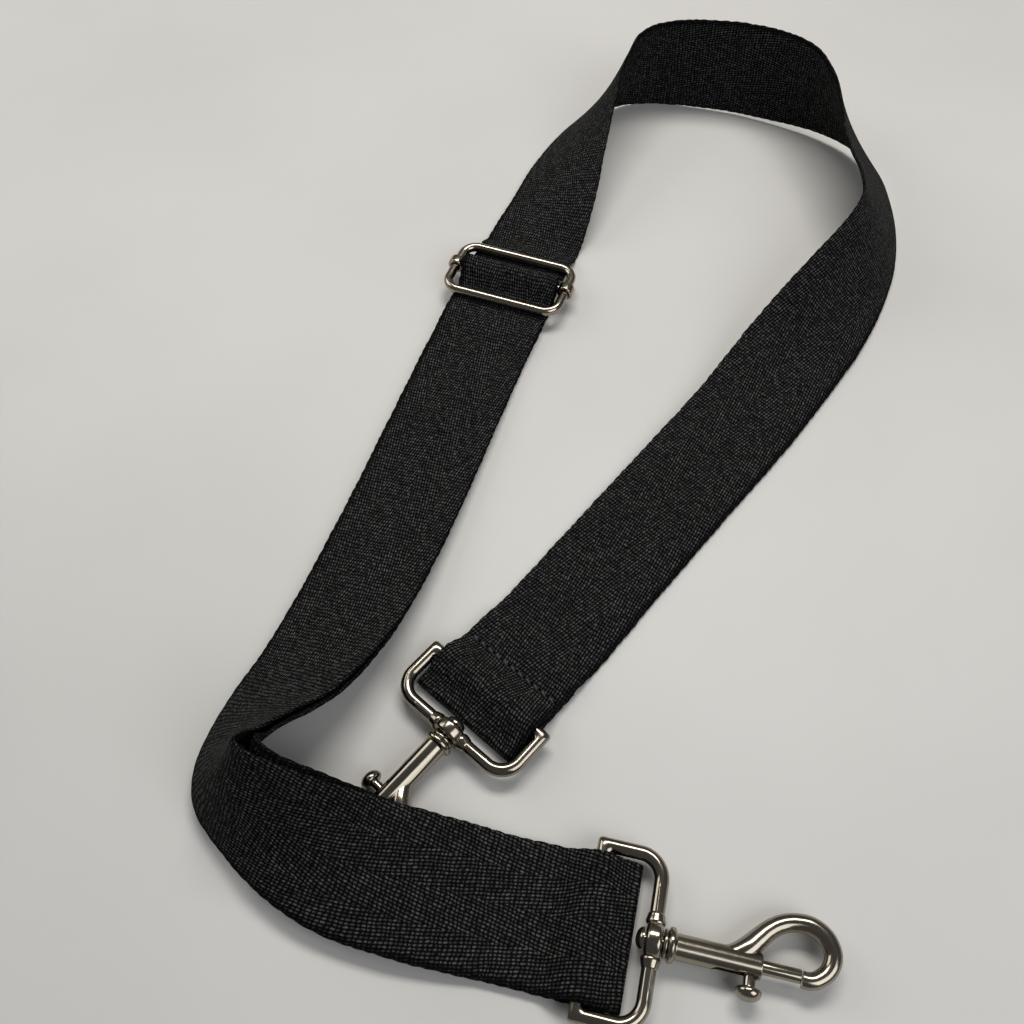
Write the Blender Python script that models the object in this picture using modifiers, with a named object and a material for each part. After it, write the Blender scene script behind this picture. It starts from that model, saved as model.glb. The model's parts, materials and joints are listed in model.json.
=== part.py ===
"""Detachable bag strap of woven webbing, laid on a table in its photographed pose.

One band of webbing is sewn round a rectangular ring at one end, runs through a sliding
buckle, passes round a second ring and comes back under itself to the buckle's centre bar,
where its end is sewn. Each ring carries a swivelling hook with a spring bolt.

Metres, +Z up. The part stands on Z = 0 with the middle of its bounding box at X = Y = 0.
"""
import math

import bmesh
import bpy
from mathutils import Vector

# Webbing
WEB_WIDTH = 0.0380
WEB_THICK = 0.0013
SEAT_GAP = 0.0003            # left between pieces that touch

# Laid shape: places in four-hundredths of the laid depth
LAID_DEPTH = 0.400
LAID_DIVISIONS = 400

# Ring castings
RING_WIRE = 0.0040           # diameter
RING_SIDE_PLAY = 0.0010      # webbing to both side wires together
RING_DEPTH = 0.0166          # crossbar centre to front bar centre
RING_CORNER = 0.0066         # centre line radius of the front corners
BOSS_DIAMETER = 0.0098
BOSS_LENGTH = 0.0044
BOSS_EDGE = 0.0010           # rounding of the boss's rim
LOBE_DIAMETER = 0.0056       # the wire's swelling beside the boss
LOBE_REACH = 0.0070          # boss centre to the end of that swelling
FLOOR_CLEARANCE = 0.0001     # under the boss

# Swivel stud
STUD_DIAMETER = 0.0032
STUD_HEAD_DIAMETER = 0.0062
STUD_HEAD_HEIGHT = 0.0017
STUD_SEAT_DEPTH = 0.0024     # shank inside the hook's collar

# Hook body, lengths along the hook's axis
COLLAR_DIAMETER = 0.0092
COLLAR_LENGTH = 0.0014
BEAD_DIAMETER = 0.0074       # rounded step between the boss and the collar
BEAD_LENGTH = 0.0018
BARREL_DIAMETER = 0.0067
BARREL_MOUTH = 0.0280        # swivel centre to the barrel's mouth
BARREL_EDGE = 0.0004
SPRING_SEAT = 0.0073         # swivel centre to the blind end of the bore
HOOK_SPAN = 0.0200           # barrel mouth to the far side of the hook
HOOK_SECTION = 0.0048        # nominal diameter of the hook's bow
HOOK_DIVISIONS = 20
TIP_STATION_SHARE = 10.3     # hook tip face, in divisions beyond the barrel mouth

# Spring bolt
BOLT_DIAMETER = 0.0036
BOLT_TAIL = 0.0033           # knob's stem to the bolt's inner end
BOLT_EDGE = 0.0003
BOLT_TRAVEL = 0.0080
KNOB_BACK = 0.0027           # barrel's mouth to the knob's stem, bolt closed
STEM_DIAMETER = 0.0032
STEM_REACH = 0.0055          # hook axis to the underside of the knob's head
KNOB_DIAMETER = 0.0068
KNOB_HEIGHT = 0.0034
SPRING_WIRE = 0.0005
SPRING_DIAMETER = 0.0035     # outer
SPRING_CURLS = 9
SPRING_CURL_POINTS = 9

# Sliding buckle
FRAME_WIRE = 0.0035
FRAME_SIDE_PLAY = 0.0038     # webbing to both side wires together
FRAME_CORNER = 0.0056        # centre line radius
FRAME_HALF = 0.0121          # frame centre to an end bar's centre
FRAME_AHEAD = 0.0010         # frame centre in front of the centre bar, as it lies
FRAME_SLACK = 0.0034         # how far the frame goes back along the webbing
BAR_DIAMETER = 0.0032
BAR_EYE_WALL = 0.0010
BAR_EYE_LENGTH = 0.0040

# Folds and sewn ends of the webbing
EYE_NOSE_RADIUS = 0.0014     # centre line of the fold in front of the crossbar
NOSE_PLAY = 0.0013           # swivel stud to the fold, so that the ring swings past it
EYE_HUMP = 0.0115            # crossbar to where the layers lie together again
EYE_TAIL = 0.0290            # sewn end's length from the fold
STEP_RUN = 0.0110            # length in which a layer comes down past a cut end
EYE_B_FLAT = 0.0026          # past that step to the end of the sewn eye's node
EYE_A_LENGTH = 0.0240        # crossbar to the end of the free eye's node
CROSSING_BACK = 0.0260       # buckle bar to the ends of the crossing's node
CROSSING_FRONT = 0.0370
SEWN_TAIL = 0.0240           # buckle bar to the cut end
WRAP_RUN = 0.0055            # length in which the lower layer climbs to the bar
HUMP_FALL = 50.0             # slope of the layers beside the bar, in degrees
HUMP_FOOT_RADIUS = 0.0040    # centre line where the lower one lies down again
THREAD_DIAMETER = 0.0005
THREAD_INSET = 0.0030        # stitch row's ends from the webbing's edges
STITCH_PITCH = 0.0030
STITCH_WAVE = 0.0004
STITCH_ROW = 0.0122          # crossbar to the stitch row

CUT_OVERRUN = 0.0020
END_STRAIGHT = 0.0015        # a ribbon's first and last stretch, square to what it meets
WELD = 0.00001
ROUND_SIDES = 24

# Heights and offsets that follow from the sizes above
web_half = WEB_WIDTH / 2
layer = WEB_THICK + SEAT_GAP
z_first = WEB_THICK / 2
z_second = z_first + layer
z_third = z_second + layer
ring_radius = RING_WIRE / 2
ring_side = (WEB_WIDTH + RING_SIDE_PLAY + RING_WIRE) / 2
z_ring = BOSS_DIAMETER / 2 + FLOOR_CLEARANCE
stud_radius = STUD_DIAMETER / 2
boss_half = BOSS_LENGTH / 2
eye_nose = RING_DEPTH - boss_half - STUD_HEAD_HEIGHT - NOSE_PLAY
eye_b_length = EYE_TAIL - eye_nose + STEP_RUN + EYE_B_FLAT
bar_radius = BAR_DIAMETER / 2
frame_radius = FRAME_WIRE / 2
z_bar = z_third + WEB_THICK / 2 + SEAT_GAP + frame_radius
wrap_radius = bar_radius + SEAT_GAP + WEB_THICK / 2
frame_side = (WEB_WIDTH + FRAME_SIDE_PLAY + FRAME_WIRE) / 2
eye_radius = frame_radius + SEAT_GAP + BAR_EYE_WALL
bolt_radius = BOLT_DIAMETER / 2
bore_radius = bolt_radius + SEAT_GAP
barrel_radius = BARREL_DIAMETER / 2
hook_unit = HOOK_SPAN / HOOK_DIVISIONS
tip_face = BARREL_MOUTH + TIP_STATION_SHARE * hook_unit
bolt_tip = tip_face - SEAT_GAP
knob_station = BARREL_MOUTH - KNOB_BACK
bolt_tail = knob_station - BOLT_TAIL

# Places on the table: x, y of each piece of hardware and its heading in degrees
RING_A_SHARES = (14.9, 50.0)
RING_A_HEADING = -15.8
RING_B_SHARES = (-10.0, 117.1)
RING_B_HEADING = 225.5
BUCKLE_SHARES = (4.3, 288.0)
BUCKLE_HEADING = 246.5

# Centre line of the band: x, y, lift of its outer edge, lean in degrees
# (0 lies flat, 90 stands on its outer edge)
LOOP_SHARES = [
    (31.0, 160.5, 0.0, 0), (58.0, 189.5, 0.0, 2), (84.0, 217.0, 0.0, 6),
    (104.5, 240.0, 0.0, 17), (123.0, 259.5, 0.0, 36), (137.5, 277.0, 0.0, 52),
    (145.5, 290.5, 0.5, 58), (149.0, 305.0, 1.0, 56), (150.0, 320.5, 1.5, 52),
    (149.5, 336.0, 2.5, 52), (147.0, 349.0, 3.0, 60), (142.0, 362.5, 3.0, 74),
    (134.5, 375.0, 2.5, 89), (124.5, 384.5, 1.5, 99), (109.5, 393.0, 1.0, 102),
    (91.0, 398.5, 0.5, 99), (74.0, 400.5, 0.0, 91), (62.5, 396.5, 0.5, 80),
    (53.5, 388.0, 1.0, 66), (45.5, 378.5, 0.5, 53), (37.5, 365.0, 0.0, 41),
    (30.0, 348.5, 0.0, 29), (22.5, 328.5, 0.0, 15),
]
RIGHT_LEG_COUNT = 4          # stations of the straight right leg
LEFT_LEG_COUNT = 3           # stations of the left leg
RUN_SHARES = [
    (-21.0, 227.0, 0.0, 2), (-38.0, 183.0, 0.0, 5), (-52.0, 150.0, 0.0, 12),
    (-64.0, 127.5, 0.0, 25), (-74.0, 114.0, 0.5, 38), (-80.8, 104.0, 1.2, 49),
    (-84.2, 97.0, 2.0, 55), (-84.3, 90.2, 2.8, 58), (-80.0, 84.2, 3.4, 57),
    (-73.0, 79.0, 3.8, 51), (-61.0, 72.3, 3.5, 37), (-47.0, 66.5, 2.8, 21),
    (-31.5, 62.0, 2.6, 13),
]
BEFORE_BEND_COUNT = 4        # stations before the bend
AFTER_BEND_COUNT = 2         # stations after it

# The layer under the run keeps to it, but takes a shorter way round inside the bend
INNER_SHARES = [
    (-63.4, 127.0, 0.1, 23), (-71.6, 113.3, 0.4, 36), (-76.2, 104.9, 0.7, 46),
    (-78.6, 98.2, 1.0, 53), (-79.2, 93.0, 1.0, 59), (-76.9, 88.2, 1.4, 59),
    (-72.0, 82.8, 2.2, 52), (-60.4, 74.6, 2.6, 35), (-46.6, 67.4, 2.7, 19),
    (-31.4, 62.2, 1.9, 12),
]
INNER_START_COUNT = 4        # stations of the run before the inner ones take over

# Centre line of the hook's bow beyond the barrel's mouth: x, y, section
BOW_SHARES = [
    (-11.5, 0.6, 0.90), (-7.4, 1.6, 1.06), (-4.0, 3.7, 1.24), (-1.5, 6.5, 1.16),
    (0.9, 9.2, 1.07), (3.8, 11.4, 1.02), (7.4, 12.7, 1.01), (11.8, 12.8, 1.02),
    (15.5, 10.9, 1.02), (17.5, 7.7, 1.01), (17.6, 4.9, 0.98), (16.4, 2.2, 0.94),
    (14.2, 0.2, 0.92), (12.2, -0.6, 0.92), (TIP_STATION_SHARE, -0.6, 0.92),
]


def fresh_scene():
    for item in list(bpy.data.objects):
        bpy.data.objects.remove(item, do_unlink=True)
    found = {}
    for name in ("bag_strap", "cutters"):
        group = bpy.data.collections.new(name)
        bpy.context.scene.collection.children.link(group)
        found[name] = group
    return found


groups = fresh_scene()


def material(name, colour, roughness, metallic):
    found = bpy.data.materials.new(name)
    found.use_nodes = True
    shader = found.node_tree.nodes["Principled BSDF"]
    shader.inputs["Base Color"].default_value = (*colour, 1.0)
    shader.inputs["Roughness"].default_value = roughness
    shader.inputs["Metallic"].default_value = metallic
    return found


def dressed(item, colour, roughness, metallic):
    item.data.materials.append(material(item.name, colour, roughness, metallic))
    return item


def cloth(item):
    return dressed(item, (0.012, 0.012, 0.014), 0.85, 0.0)


def metal(item):
    return dressed(item, (0.56, 0.53, 0.48), 0.22, 1.0)


def empty(name, place, heading=0.0, parent=None):
    item = bpy.data.objects.new(name, None)
    groups["bag_strap"].objects.link(item)
    item.location = place
    item.rotation_euler = (0.0, 0.0, heading)
    item.parent = parent
    return item


def added(name, data, parent, place, turn, as_cutter):
    item = bpy.data.objects.new(name, data)
    groups["cutters" if as_cutter else "bag_strap"].objects.link(item)
    item.parent = parent
    item.location = place
    item.rotation_euler = turn
    if as_cutter:
        item.hide_render = True
        item.display_type = "WIRE"
    return item


ORIGIN = (0.0, 0.0, 0.0)
LEVEL = (0.0, 0.0, 0.0)
ALONG_X = (0.0, math.pi / 2, 0.0)      # local Z to +X
ALONG_Y = (-math.pi / 2, 0.0, 0.0)     # local Z to +Y
TOWARDS_RIGHT = (math.pi / 2, 0.0, 0.0)  # local Z to -Y


def cylinder(
        name, radius, low, high, parent, turn=LEVEL, place=ORIGIN, as_cutter=False, sides=ROUND_SIDES):
    shape = bmesh.new()
    bmesh.ops.create_cone(
        shape, cap_ends=True, segments=sides, radius1=radius, radius2=radius, depth=high - low)
    bmesh.ops.translate(shape, verts=shape.verts, vec=(0.0, 0.0, (high + low) / 2))
    data = bpy.data.meshes.new(name)
    shape.to_mesh(data)
    shape.free()
    return added(name, data, parent, place, turn, as_cutter)


def box(name, low, high, parent, as_cutter=True):
    shape = bmesh.new()
    bmesh.ops.create_cube(shape, size=1.0)
    for vert in shape.verts:
        vert.co = Vector([(a + b) / 2 + (b - a) * c for a, b, c in zip(low, high, vert.co)])
    data = bpy.data.meshes.new(name)
    shape.to_mesh(data)
    shape.free()
    return added(name, data, parent, ORIGIN, LEVEL, as_cutter)


def turned(name, profile, parent, turn, place=ORIGIN, sides=ROUND_SIDES):
    """Solid of revolution about local Z from (radius, height) points, top to bottom."""
    data = bpy.data.meshes.new(name)
    data.from_pydata([(r, 0.0, z) for r, z in profile], [(i, i + 1) for i in range(len(profile) - 1)], [])
    item = added(name, data, parent, place, turn, False)
    screw = item.modifiers.new("turn", "SCREW")
    screw.axis = "Z"
    screw.angle = 2 * math.pi
    screw.steps = sides
    screw.render_steps = sides
    screw.use_merge_vertices = True
    screw.merge_threshold = WELD
    screw.use_smooth_shade = True
    return item


def tube(name, points, radius, parent, resolution=4, radii=None, cyclic=False, place=ORIGIN, tilt=0.0):
    curve = bpy.data.curves.new(name, "CURVE")
    curve.dimensions = "3D"
    curve.bevel_depth = radius
    curve.bevel_resolution = resolution
    curve.use_fill_caps = not cyclic
    spline = curve.splines.new("POLY")
    spline.points.add(len(points) - 1)
    for i, point in enumerate(points):
        spline.points[i].co = (*point, 1.0)
        spline.points[i].radius = radii[i] if radii else 1.0
        spline.points[i].tilt = tilt
    spline.use_cyclic_u = cyclic
    return added(name, curve, parent, place, LEVEL, False)


def flat_outline(name, outline, depth, parent, turn=LEVEL, place=ORIGIN):
    curve = bpy.data.curves.new(name, "CURVE")
    curve.dimensions = "2D"
    curve.fill_mode = "BOTH"
    curve.extrude = depth / 2
    spline = curve.splines.new("POLY")
    spline.points.add(len(outline) - 1)
    for i, (x, y) in enumerate(outline):
        spline.points[i].co = (x, y, 0.0, 1.0)
    spline.use_cyclic_u = True
    return added(name, curve, parent, place, turn, False)


def as_mesh(item, as_cutter=False):
    """The same shape as a welded mesh, so that it can be cut or joined."""
    bpy.context.view_layer.update()
    seen = item.evaluated_get(bpy.context.evaluated_depsgraph_get())
    data = bpy.data.meshes.new_from_object(seen)
    shape = bmesh.new()
    shape.from_mesh(data)
    bmesh.ops.remove_doubles(shape, verts=shape.verts, dist=WELD)
    bmesh.ops.recalc_face_normals(shape, faces=shape.faces)
    shape.to_mesh(data)
    shape.free()
    name = item.name
    place = item.matrix_world.copy()
    parent = item.parent
    bpy.data.objects.remove(item, do_unlink=True)
    made = added(name, data, parent, ORIGIN, LEVEL, as_cutter)
    made.matrix_world = place
    return made


def combine(item, other, operation):
    if operation != "DIFFERENCE":
        for group in list(other.users_collection):
            group.objects.unlink(other)
        groups["cutters"].objects.link(other)
        other.hide_render = True
        other.display_type = "WIRE"
    step = item.modifiers.new(other.name, "BOOLEAN")
    step.operation = operation
    step.object = other
    return item


def arc(centre, radius, start, end, count):
    """Points of an arc in a plane, angles in degrees."""
    found = []
    for i in range(count + 1):
        angle = math.radians(start + (end - start) * i / count)
        found.append((centre[0] + radius * math.cos(angle), centre[1] + radius * math.sin(angle)))
    return found


def ease(start, end, count):
    """A smooth step between two heights, level at both ends."""
    found = []
    for i in range(count + 1):
        t = i / count
        rise = t * t * (3 - 2 * t)
        found.append((start[0] + (end[0] - start[0]) * t, start[1] + (end[1] - start[1]) * rise))
    return found


def joined(*stretches):
    found = []
    for stretch in stretches:
        for point in stretch:
            if not found or math.dist(point, found[-1]) > WELD:
                found.append(point)
    return found


def beside(path, distance):
    """The path moved sideways, to its left for a positive distance."""
    found = []
    for i, point in enumerate(path):
        before = path[max(i - 1, 0)]
        after = path[min(i + 1, len(path) - 1)]
        a = Vector((point[0] - before[0], point[1] - before[1]))
        b = Vector((after[0] - point[0], after[1] - point[1]))
        a = a.normalized() if a.length > 0 else b.normalized()
        b = b.normalized() if b.length > 0 else a
        along = (a + b).normalized()
        reach = distance / max(along.dot(a), 0.5)
        found.append((point[0] - along.y * reach, point[1] + along.x * reach))
    return found


def band_outline(path):
    """Closed outline of the webbing's thickness along a path seen from its side."""
    return beside(path, WEB_THICK / 2) + beside(path, -WEB_THICK / 2)[::-1]


def spot(shares, height=0.0):
    """A place on the table from its shares of the laid depth."""
    unit = LAID_DEPTH / LAID_DIVISIONS
    return Vector((shares[0] * unit, shares[1] * unit, height))


root = empty("strap_root", ORIGIN)
heading_a = math.radians(RING_A_HEADING)
heading_b = math.radians(RING_B_HEADING)
heading_buckle = math.radians(BUCKLE_HEADING)
centre_a = spot(RING_A_SHARES)
centre_b = spot(RING_B_SHARES)
centre_buckle = spot(BUCKLE_SHARES)


def ahead(centre, heading, distance):
    return centre + Vector((math.cos(heading), math.sin(heading), 0.0)) * distance


# The band's free runs
def smooth(stations, steps):
    """Catmull-Rom curve through stations of any number of values."""
    ends = [[2 * a - b for a, b in zip(stations[0], stations[1])],
            [2 * a - b for a, b in zip(stations[-1], stations[-2])]]
    points = [ends[0], *stations, ends[1]]
    found = []
    for i in range(1, len(points) - 2):
        for k in range(steps):
            t = k / steps
            found.append([
                (2 * b + (c - a) * t + (2 * a - 5 * b + 4 * c - d) * t ** 2
                 + (3 * b - a - 3 * c + d) * t ** 3) / 2
                for a, b, c, d in zip(points[i - 1], points[i], points[i + 1], points[i + 2])])
    found.append(list(points[-2]))
    return found


def station(shares, base):
    """Centre point and lean from a station: its lift counts from the base height."""
    unit = LAID_DEPTH / LAID_DIVISIONS
    lean = math.radians(shares[3])
    height = base + shares[2] * unit + web_half * math.sin(lean) + z_first * abs(math.cos(lean))
    return [shares[0] * unit, shares[1] * unit, height, lean]


def free_run(shares, base, start, start_heading, end, end_heading, lead_in, lead_out, steps):
    """Samples from one straight node's end to the next, led in and out along their headings."""
    before = ahead(start, start_heading, -lead_in)
    after = ahead(end, end_heading, lead_out)
    stations = [[*before, 0.0], [*start, 0.0]]
    stations += [station(item, base) for item in shares]
    stations += [[*end, 0.0], [*after, 0.0]]
    return square_ends(smooth(stations, steps)[steps:-steps], start_heading, end_heading)


def square_ends(samples, start_heading, end_heading):
    """Level stretches along the headings of the pieces that the run meets."""
    first = [*ahead(Vector(samples[0][:3]), start_heading, END_STRAIGHT), 0.0]
    last = [*ahead(Vector(samples[-1][:3]), end_heading, -END_STRAIGHT), 0.0]
    return [samples[0], first, *samples[1:-1], last, samples[-1]]


def lengths(samples):
    found = [0.0]
    for a, b in zip(samples, samples[1:]):
        found.append(found[-1] + math.dist(a[:3], b[:3]))
    return found


def between(samples, index):
    """The length along the run midway between a sample and the next."""
    total = lengths(samples)
    return (total[index] + total[index + 1]) / 2


def stretch(samples, low, high):
    """The samples between two lengths along the run, with exact ends."""
    total = lengths(samples)

    def at(length):
        i = 0
        while i < len(total) - 2 and total[i + 1] < length:
            i += 1
        t = (length - total[i]) / (total[i + 1] - total[i])
        return [a + (b - a) * t for a, b in zip(samples[i], samples[i + 1])]

    spare = (high - low) / len(samples) / 4
    inner = [s for s, length in zip(samples, total) if low + spare < length < high - spare]
    return [at(low), *inner, at(high)]


def frames(samples):
    """Tangent, cross direction towards the inner edge, and normal at each sample."""
    found = []
    for i, sample in enumerate(samples):
        a = Vector(samples[max(i - 1, 0)][:3])
        b = Vector(samples[min(i + 1, len(samples) - 1)][:3])
        along = (b - a).normalized()
        level = Vector((0.0, 0.0, 1.0)).cross(along).normalized()
        rise = along.cross(level)
        cross = level * math.cos(sample[3]) + rise * math.sin(sample[3])
        found.append((along, cross, cross.cross(along)))
    return found


def ribbon(name, samples, width=WEB_WIDTH):
    """A strip of webbing: a curve widened across its path, tilted by its lean, and thickened."""
    curve = bpy.data.curves.new(name, "CURVE")
    curve.dimensions = "3D"
    curve.twist_mode = "Z_UP"
    curve.extrude = width / 2
    spline = curve.splines.new("POLY")
    spline.points.add(len(samples) - 1)
    for i, sample in enumerate(samples):
        spline.points[i].co = (sample[0], sample[1], sample[2], 1.0)
        spline.points[i].tilt = sample[3] - math.pi / 2
    item = added(name, curve, root, ORIGIN, LEVEL, False)
    shell = item.modifiers.new("thickness", "SOLIDIFY")
    shell.thickness = WEB_THICK
    shell.offset = 0.0
    shell.use_even_offset = True
    return cloth(item)


def split_run(samples, breaks, names):
    """Ribbons between the breaks, each standing half a gap back from them."""
    total = lengths(samples)[-1]
    marks = [0.0, *breaks, total]
    for name, low, high in zip(names, marks, marks[1:]):
        ribbon(name, stretch(samples, low + SEAT_GAP / 2, high - SEAT_GAP / 2))


LOOP_STEP_COUNT = 4
RUN_STEP_COUNT = 5
loop_samples = free_run(
    LOOP_SHARES, 0.0,
    ahead(centre_b, heading_b, -eye_b_length) + Vector((0, 0, z_first)), heading_b + math.pi,
    ahead(centre_buckle, heading_buckle, -CROSSING_BACK) + Vector((0, 0, z_first)), heading_buckle,
    eye_b_length, CROSSING_BACK, LOOP_STEP_COUNT)
loop_breaks = (
    RIGHT_LEG_COUNT * LOOP_STEP_COUNT + 1,
    len(loop_samples) - 2 - LEFT_LEG_COUNT * LOOP_STEP_COUNT)
split_run(
    loop_samples, [between(loop_samples, i) for i in loop_breaks],
    ["webbing_right_leg", "webbing_back_loop", "webbing_left_leg"])

run_samples = free_run(
    RUN_SHARES, layer,
    ahead(centre_buckle, heading_buckle, CROSSING_FRONT) + Vector((0, 0, z_second)), heading_buckle,
    ahead(centre_a, heading_a, -EYE_A_LENGTH) + Vector((0, 0, z_second)), heading_a,
    CROSSING_FRONT, EYE_A_LENGTH, RUN_STEP_COUNT)
run_breaks = (
    BEFORE_BEND_COUNT * RUN_STEP_COUNT + 1,
    len(run_samples) - 2 - AFTER_BEND_COUNT * RUN_STEP_COUNT)
split_run(
    run_samples, [between(run_samples, i) for i in run_breaks],
    ["webbing_upper_run", "webbing_bend", "webbing_lower_leg"])


def return_layer(samples):
    """The layer under the run: its stations lie one layer below, or inside the bend."""
    axes = frames(samples)
    found = []
    for i in [0, *range(RUN_STEP_COUNT + 1, len(samples) - 2, RUN_STEP_COUNT), len(samples) - 1]:
        place = Vector(samples[i][:3]) + axes[i][2] * layer
        found.append([*place, samples[i][3]])
    inner = [station(item, 0.0) for item in INNER_SHARES]
    found[INNER_START_COUNT:INNER_START_COUNT + len(inner)] = inner
    before = Vector(found[0][:3]) - axes[0][0] * CROSSING_FRONT
    after = Vector(found[-1][:3]) + axes[-1][0] * EYE_A_LENGTH
    found = [[*before, 0.0], *found, [*after, 0.0]]
    line = smooth(found, RUN_STEP_COUNT)[RUN_STEP_COUNT:-RUN_STEP_COUNT]
    return square_ends(line, heading_buckle, heading_a)


return_samples = return_layer(run_samples)
split_run(
    return_samples, [between(return_samples, i) for i in run_breaks],
    ["webbing_return_upper", "webbing_return_bend", "webbing_return_lower"])


# The folds round the rings' crossbars, seen from the side
def side_piece(name, path, parent, width=WEB_WIDTH):
    return flat_outline(name, band_outline(path), width, parent, turn=(math.pi / 2, 0.0, 0.0))


def eye_path(back_top, tail):
    """Over the crossbar, round the fold in front of it and back along the table."""
    z_over = z_ring + ring_radius + SEAT_GAP + WEB_THICK / 2
    z_fold = z_first + 2 * EYE_NOSE_RADIUS
    fold = eye_nose - WEB_THICK / 2 - EYE_NOSE_RADIUS
    return joined(
        back_top,
        ease((-EYE_HUMP, z_second), (0.0, z_over), 7),
        ease((0.0, z_over), (fold, z_fold), 6),
        arc((fold, z_first + EYE_NOSE_RADIUS), EYE_NOSE_RADIUS, 90, -90, 6),
        [(0.0, z_first), (tail, z_first)])


parent_a = empty("crossbar_axis_a", centre_a, heading_a, root)
parent_b = empty("crossbar_axis_b", centre_b, heading_b, root)
tail_b = eye_nose - EYE_TAIL
over_tail_b = [(-eye_b_length, z_first), *ease((tail_b - STEP_RUN, z_first), (tail_b, z_second), 5)]
cloth(side_piece("webbing_eye_b", eye_path(over_tail_b, tail_b), parent_b))
cloth(side_piece("webbing_eye_a", eye_path([(-EYE_A_LENGTH, z_second)], -EYE_A_LENGTH), parent_a))

# The crossing at the buckle
parent_buckle = empty("buckle", centre_buckle, heading_buckle, root)
fall = math.radians(HUMP_FALL)
foot_height = z_second + HUMP_FOOT_RADIUS
slope_top = z_bar + wrap_radius * math.cos(fall)
slope_foot = foot_height - HUMP_FOOT_RADIUS * math.cos(fall)
foot_station = (wrap_radius + HUMP_FOOT_RADIUS) * math.sin(fall) + (slope_top - slope_foot) / math.tan(fall)
hump = joined(
    arc((0.0, z_bar), wrap_radius, 90, 90 - HUMP_FALL, 5),
    arc((foot_station, foot_height), HUMP_FOOT_RADIUS, 270 - HUMP_FALL, 270, 5))
over_front = beside(hump, layer)
over_back = [(-x, z) for x, z in over_front[:0:-1]]
back_bar = FRAME_AHEAD - FRAME_HALF
flat_end = back_bar - FRAME_SLACK - frame_radius
crossing = joined(
    [(-CROSSING_BACK, z_first)],
    ease((-CROSSING_BACK + STEP_RUN / 4, z_first), (flat_end, z_third), 7),
    over_back, over_front,
    ease((SEWN_TAIL, z_third), (SEWN_TAIL + STEP_RUN, z_second), 5),
    [(CROSSING_FRONT, z_second)])
cloth(side_piece("webbing_slider_crossing", crossing, parent_buckle))

sewn = joined(
    [(CROSSING_FRONT, z_first)],
    ease((WRAP_RUN, z_first), (0.0, z_bar - wrap_radius), 7),
    arc((0.0, z_bar), wrap_radius, -90, -270, 10),
    hump,
    [(SEWN_TAIL, z_second)])
cloth(side_piece("webbing_sewn_end", sewn, parent_buckle))


# Thread across the sewn eye
def thread(name, parent, along, height):
    half = web_half - THREAD_INSET
    count = max(3, round(2 * half / STITCH_PITCH)) * 2
    points = []
    for i in range(count + 1):
        share = i / count
        points.append((along + STITCH_WAVE * (1 if i % 2 else -1), -half + 2 * half * share, height))
    item = tube(name, points, THREAD_DIAMETER / 2, parent, resolution=1)
    return dressed(item, (0.03, 0.03, 0.032), 0.8, 0.0)


thread("stitching_b", parent_b, -STITCH_ROW, z_second + WEB_THICK / 2 + SEAT_GAP + THREAD_DIAMETER / 2)


# Rings
def mitred(item, corners):
    """Widens a bent tube's sections at its sharp right-angled corners to the full mitre."""
    shape = bmesh.new()
    shape.from_mesh(item.data)
    for corner in corners:
        place = Vector(corner)
        outward = Vector((math.copysign(1.0, place.x), math.copysign(1.0, place.y), 0.0)).normalized()
        for vert in shape.verts:
            reach = vert.co - place
            if reach.length < ring_radius + WELD:
                vert.co += outward * reach.dot(outward) * (math.sqrt(2) - 1)
    shape.to_mesh(item.data)
    shape.free()
    return item


def bead(radius, half, edge, count):
    """Half outline of a round bead with rounded rims, as (radius, height) points."""
    rim = arc((radius - edge, half - edge), edge, 90, 0, count)
    return [(0.0, half), *rim, *[(r, -z) for r, z in rim[::-1]], (0.0, -half)]


def ring(name, parent):
    corner = ring_side - RING_CORNER
    front = RING_DEPTH - RING_CORNER
    path = joined(
        [(0.0, ring_side)],
        arc((front, corner), RING_CORNER, 90, 0, 6),
        arc((front, -corner), RING_CORNER, 0, -90, 6),
        [(0.0, -ring_side)])
    item = as_mesh(tube(name, [(x, y, z_ring) for x, y in path], ring_radius, parent, cyclic=True))
    mitred(item, [(0.0, ring_side, z_ring), (0.0, -ring_side, z_ring)])
    place = (RING_DEPTH, 0.0, z_ring)
    boss = turned("boss_" + name, bead(BOSS_DIAMETER / 2, boss_half, BOSS_EDGE, 3), parent, ALONG_X, place)
    lobe = LOBE_DIAMETER / 2
    middle = LOBE_REACH - lobe / 2
    swell = [(ring_radius + BOSS_EDGE / 4, LOBE_REACH), (lobe * 0.93, middle + lobe / 4), (lobe, middle),
             (lobe * 0.93, middle - lobe / 4), (boss_half, BOSS_DIAMETER / 2 - BOSS_EDGE)]
    profile = [(0.0, LOBE_REACH), *swell, *[(r, -y) for r, y in swell[::-1]], (0.0, -LOBE_REACH)]
    lobes = turned("lobes_" + name, profile, parent, ALONG_Y, place, sides=16)
    hole = cylinder(
        "boss_bore_" + name, stud_radius + SEAT_GAP, -boss_half - CUT_OVERRUN, boss_half + CUT_OVERRUN,
        parent, turn=ALONG_X, place=place, as_cutter=True)
    combine(item, lobes, "UNION")
    combine(item, boss, "UNION")
    combine(item, hole, "DIFFERENCE")
    return metal(item)


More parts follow.
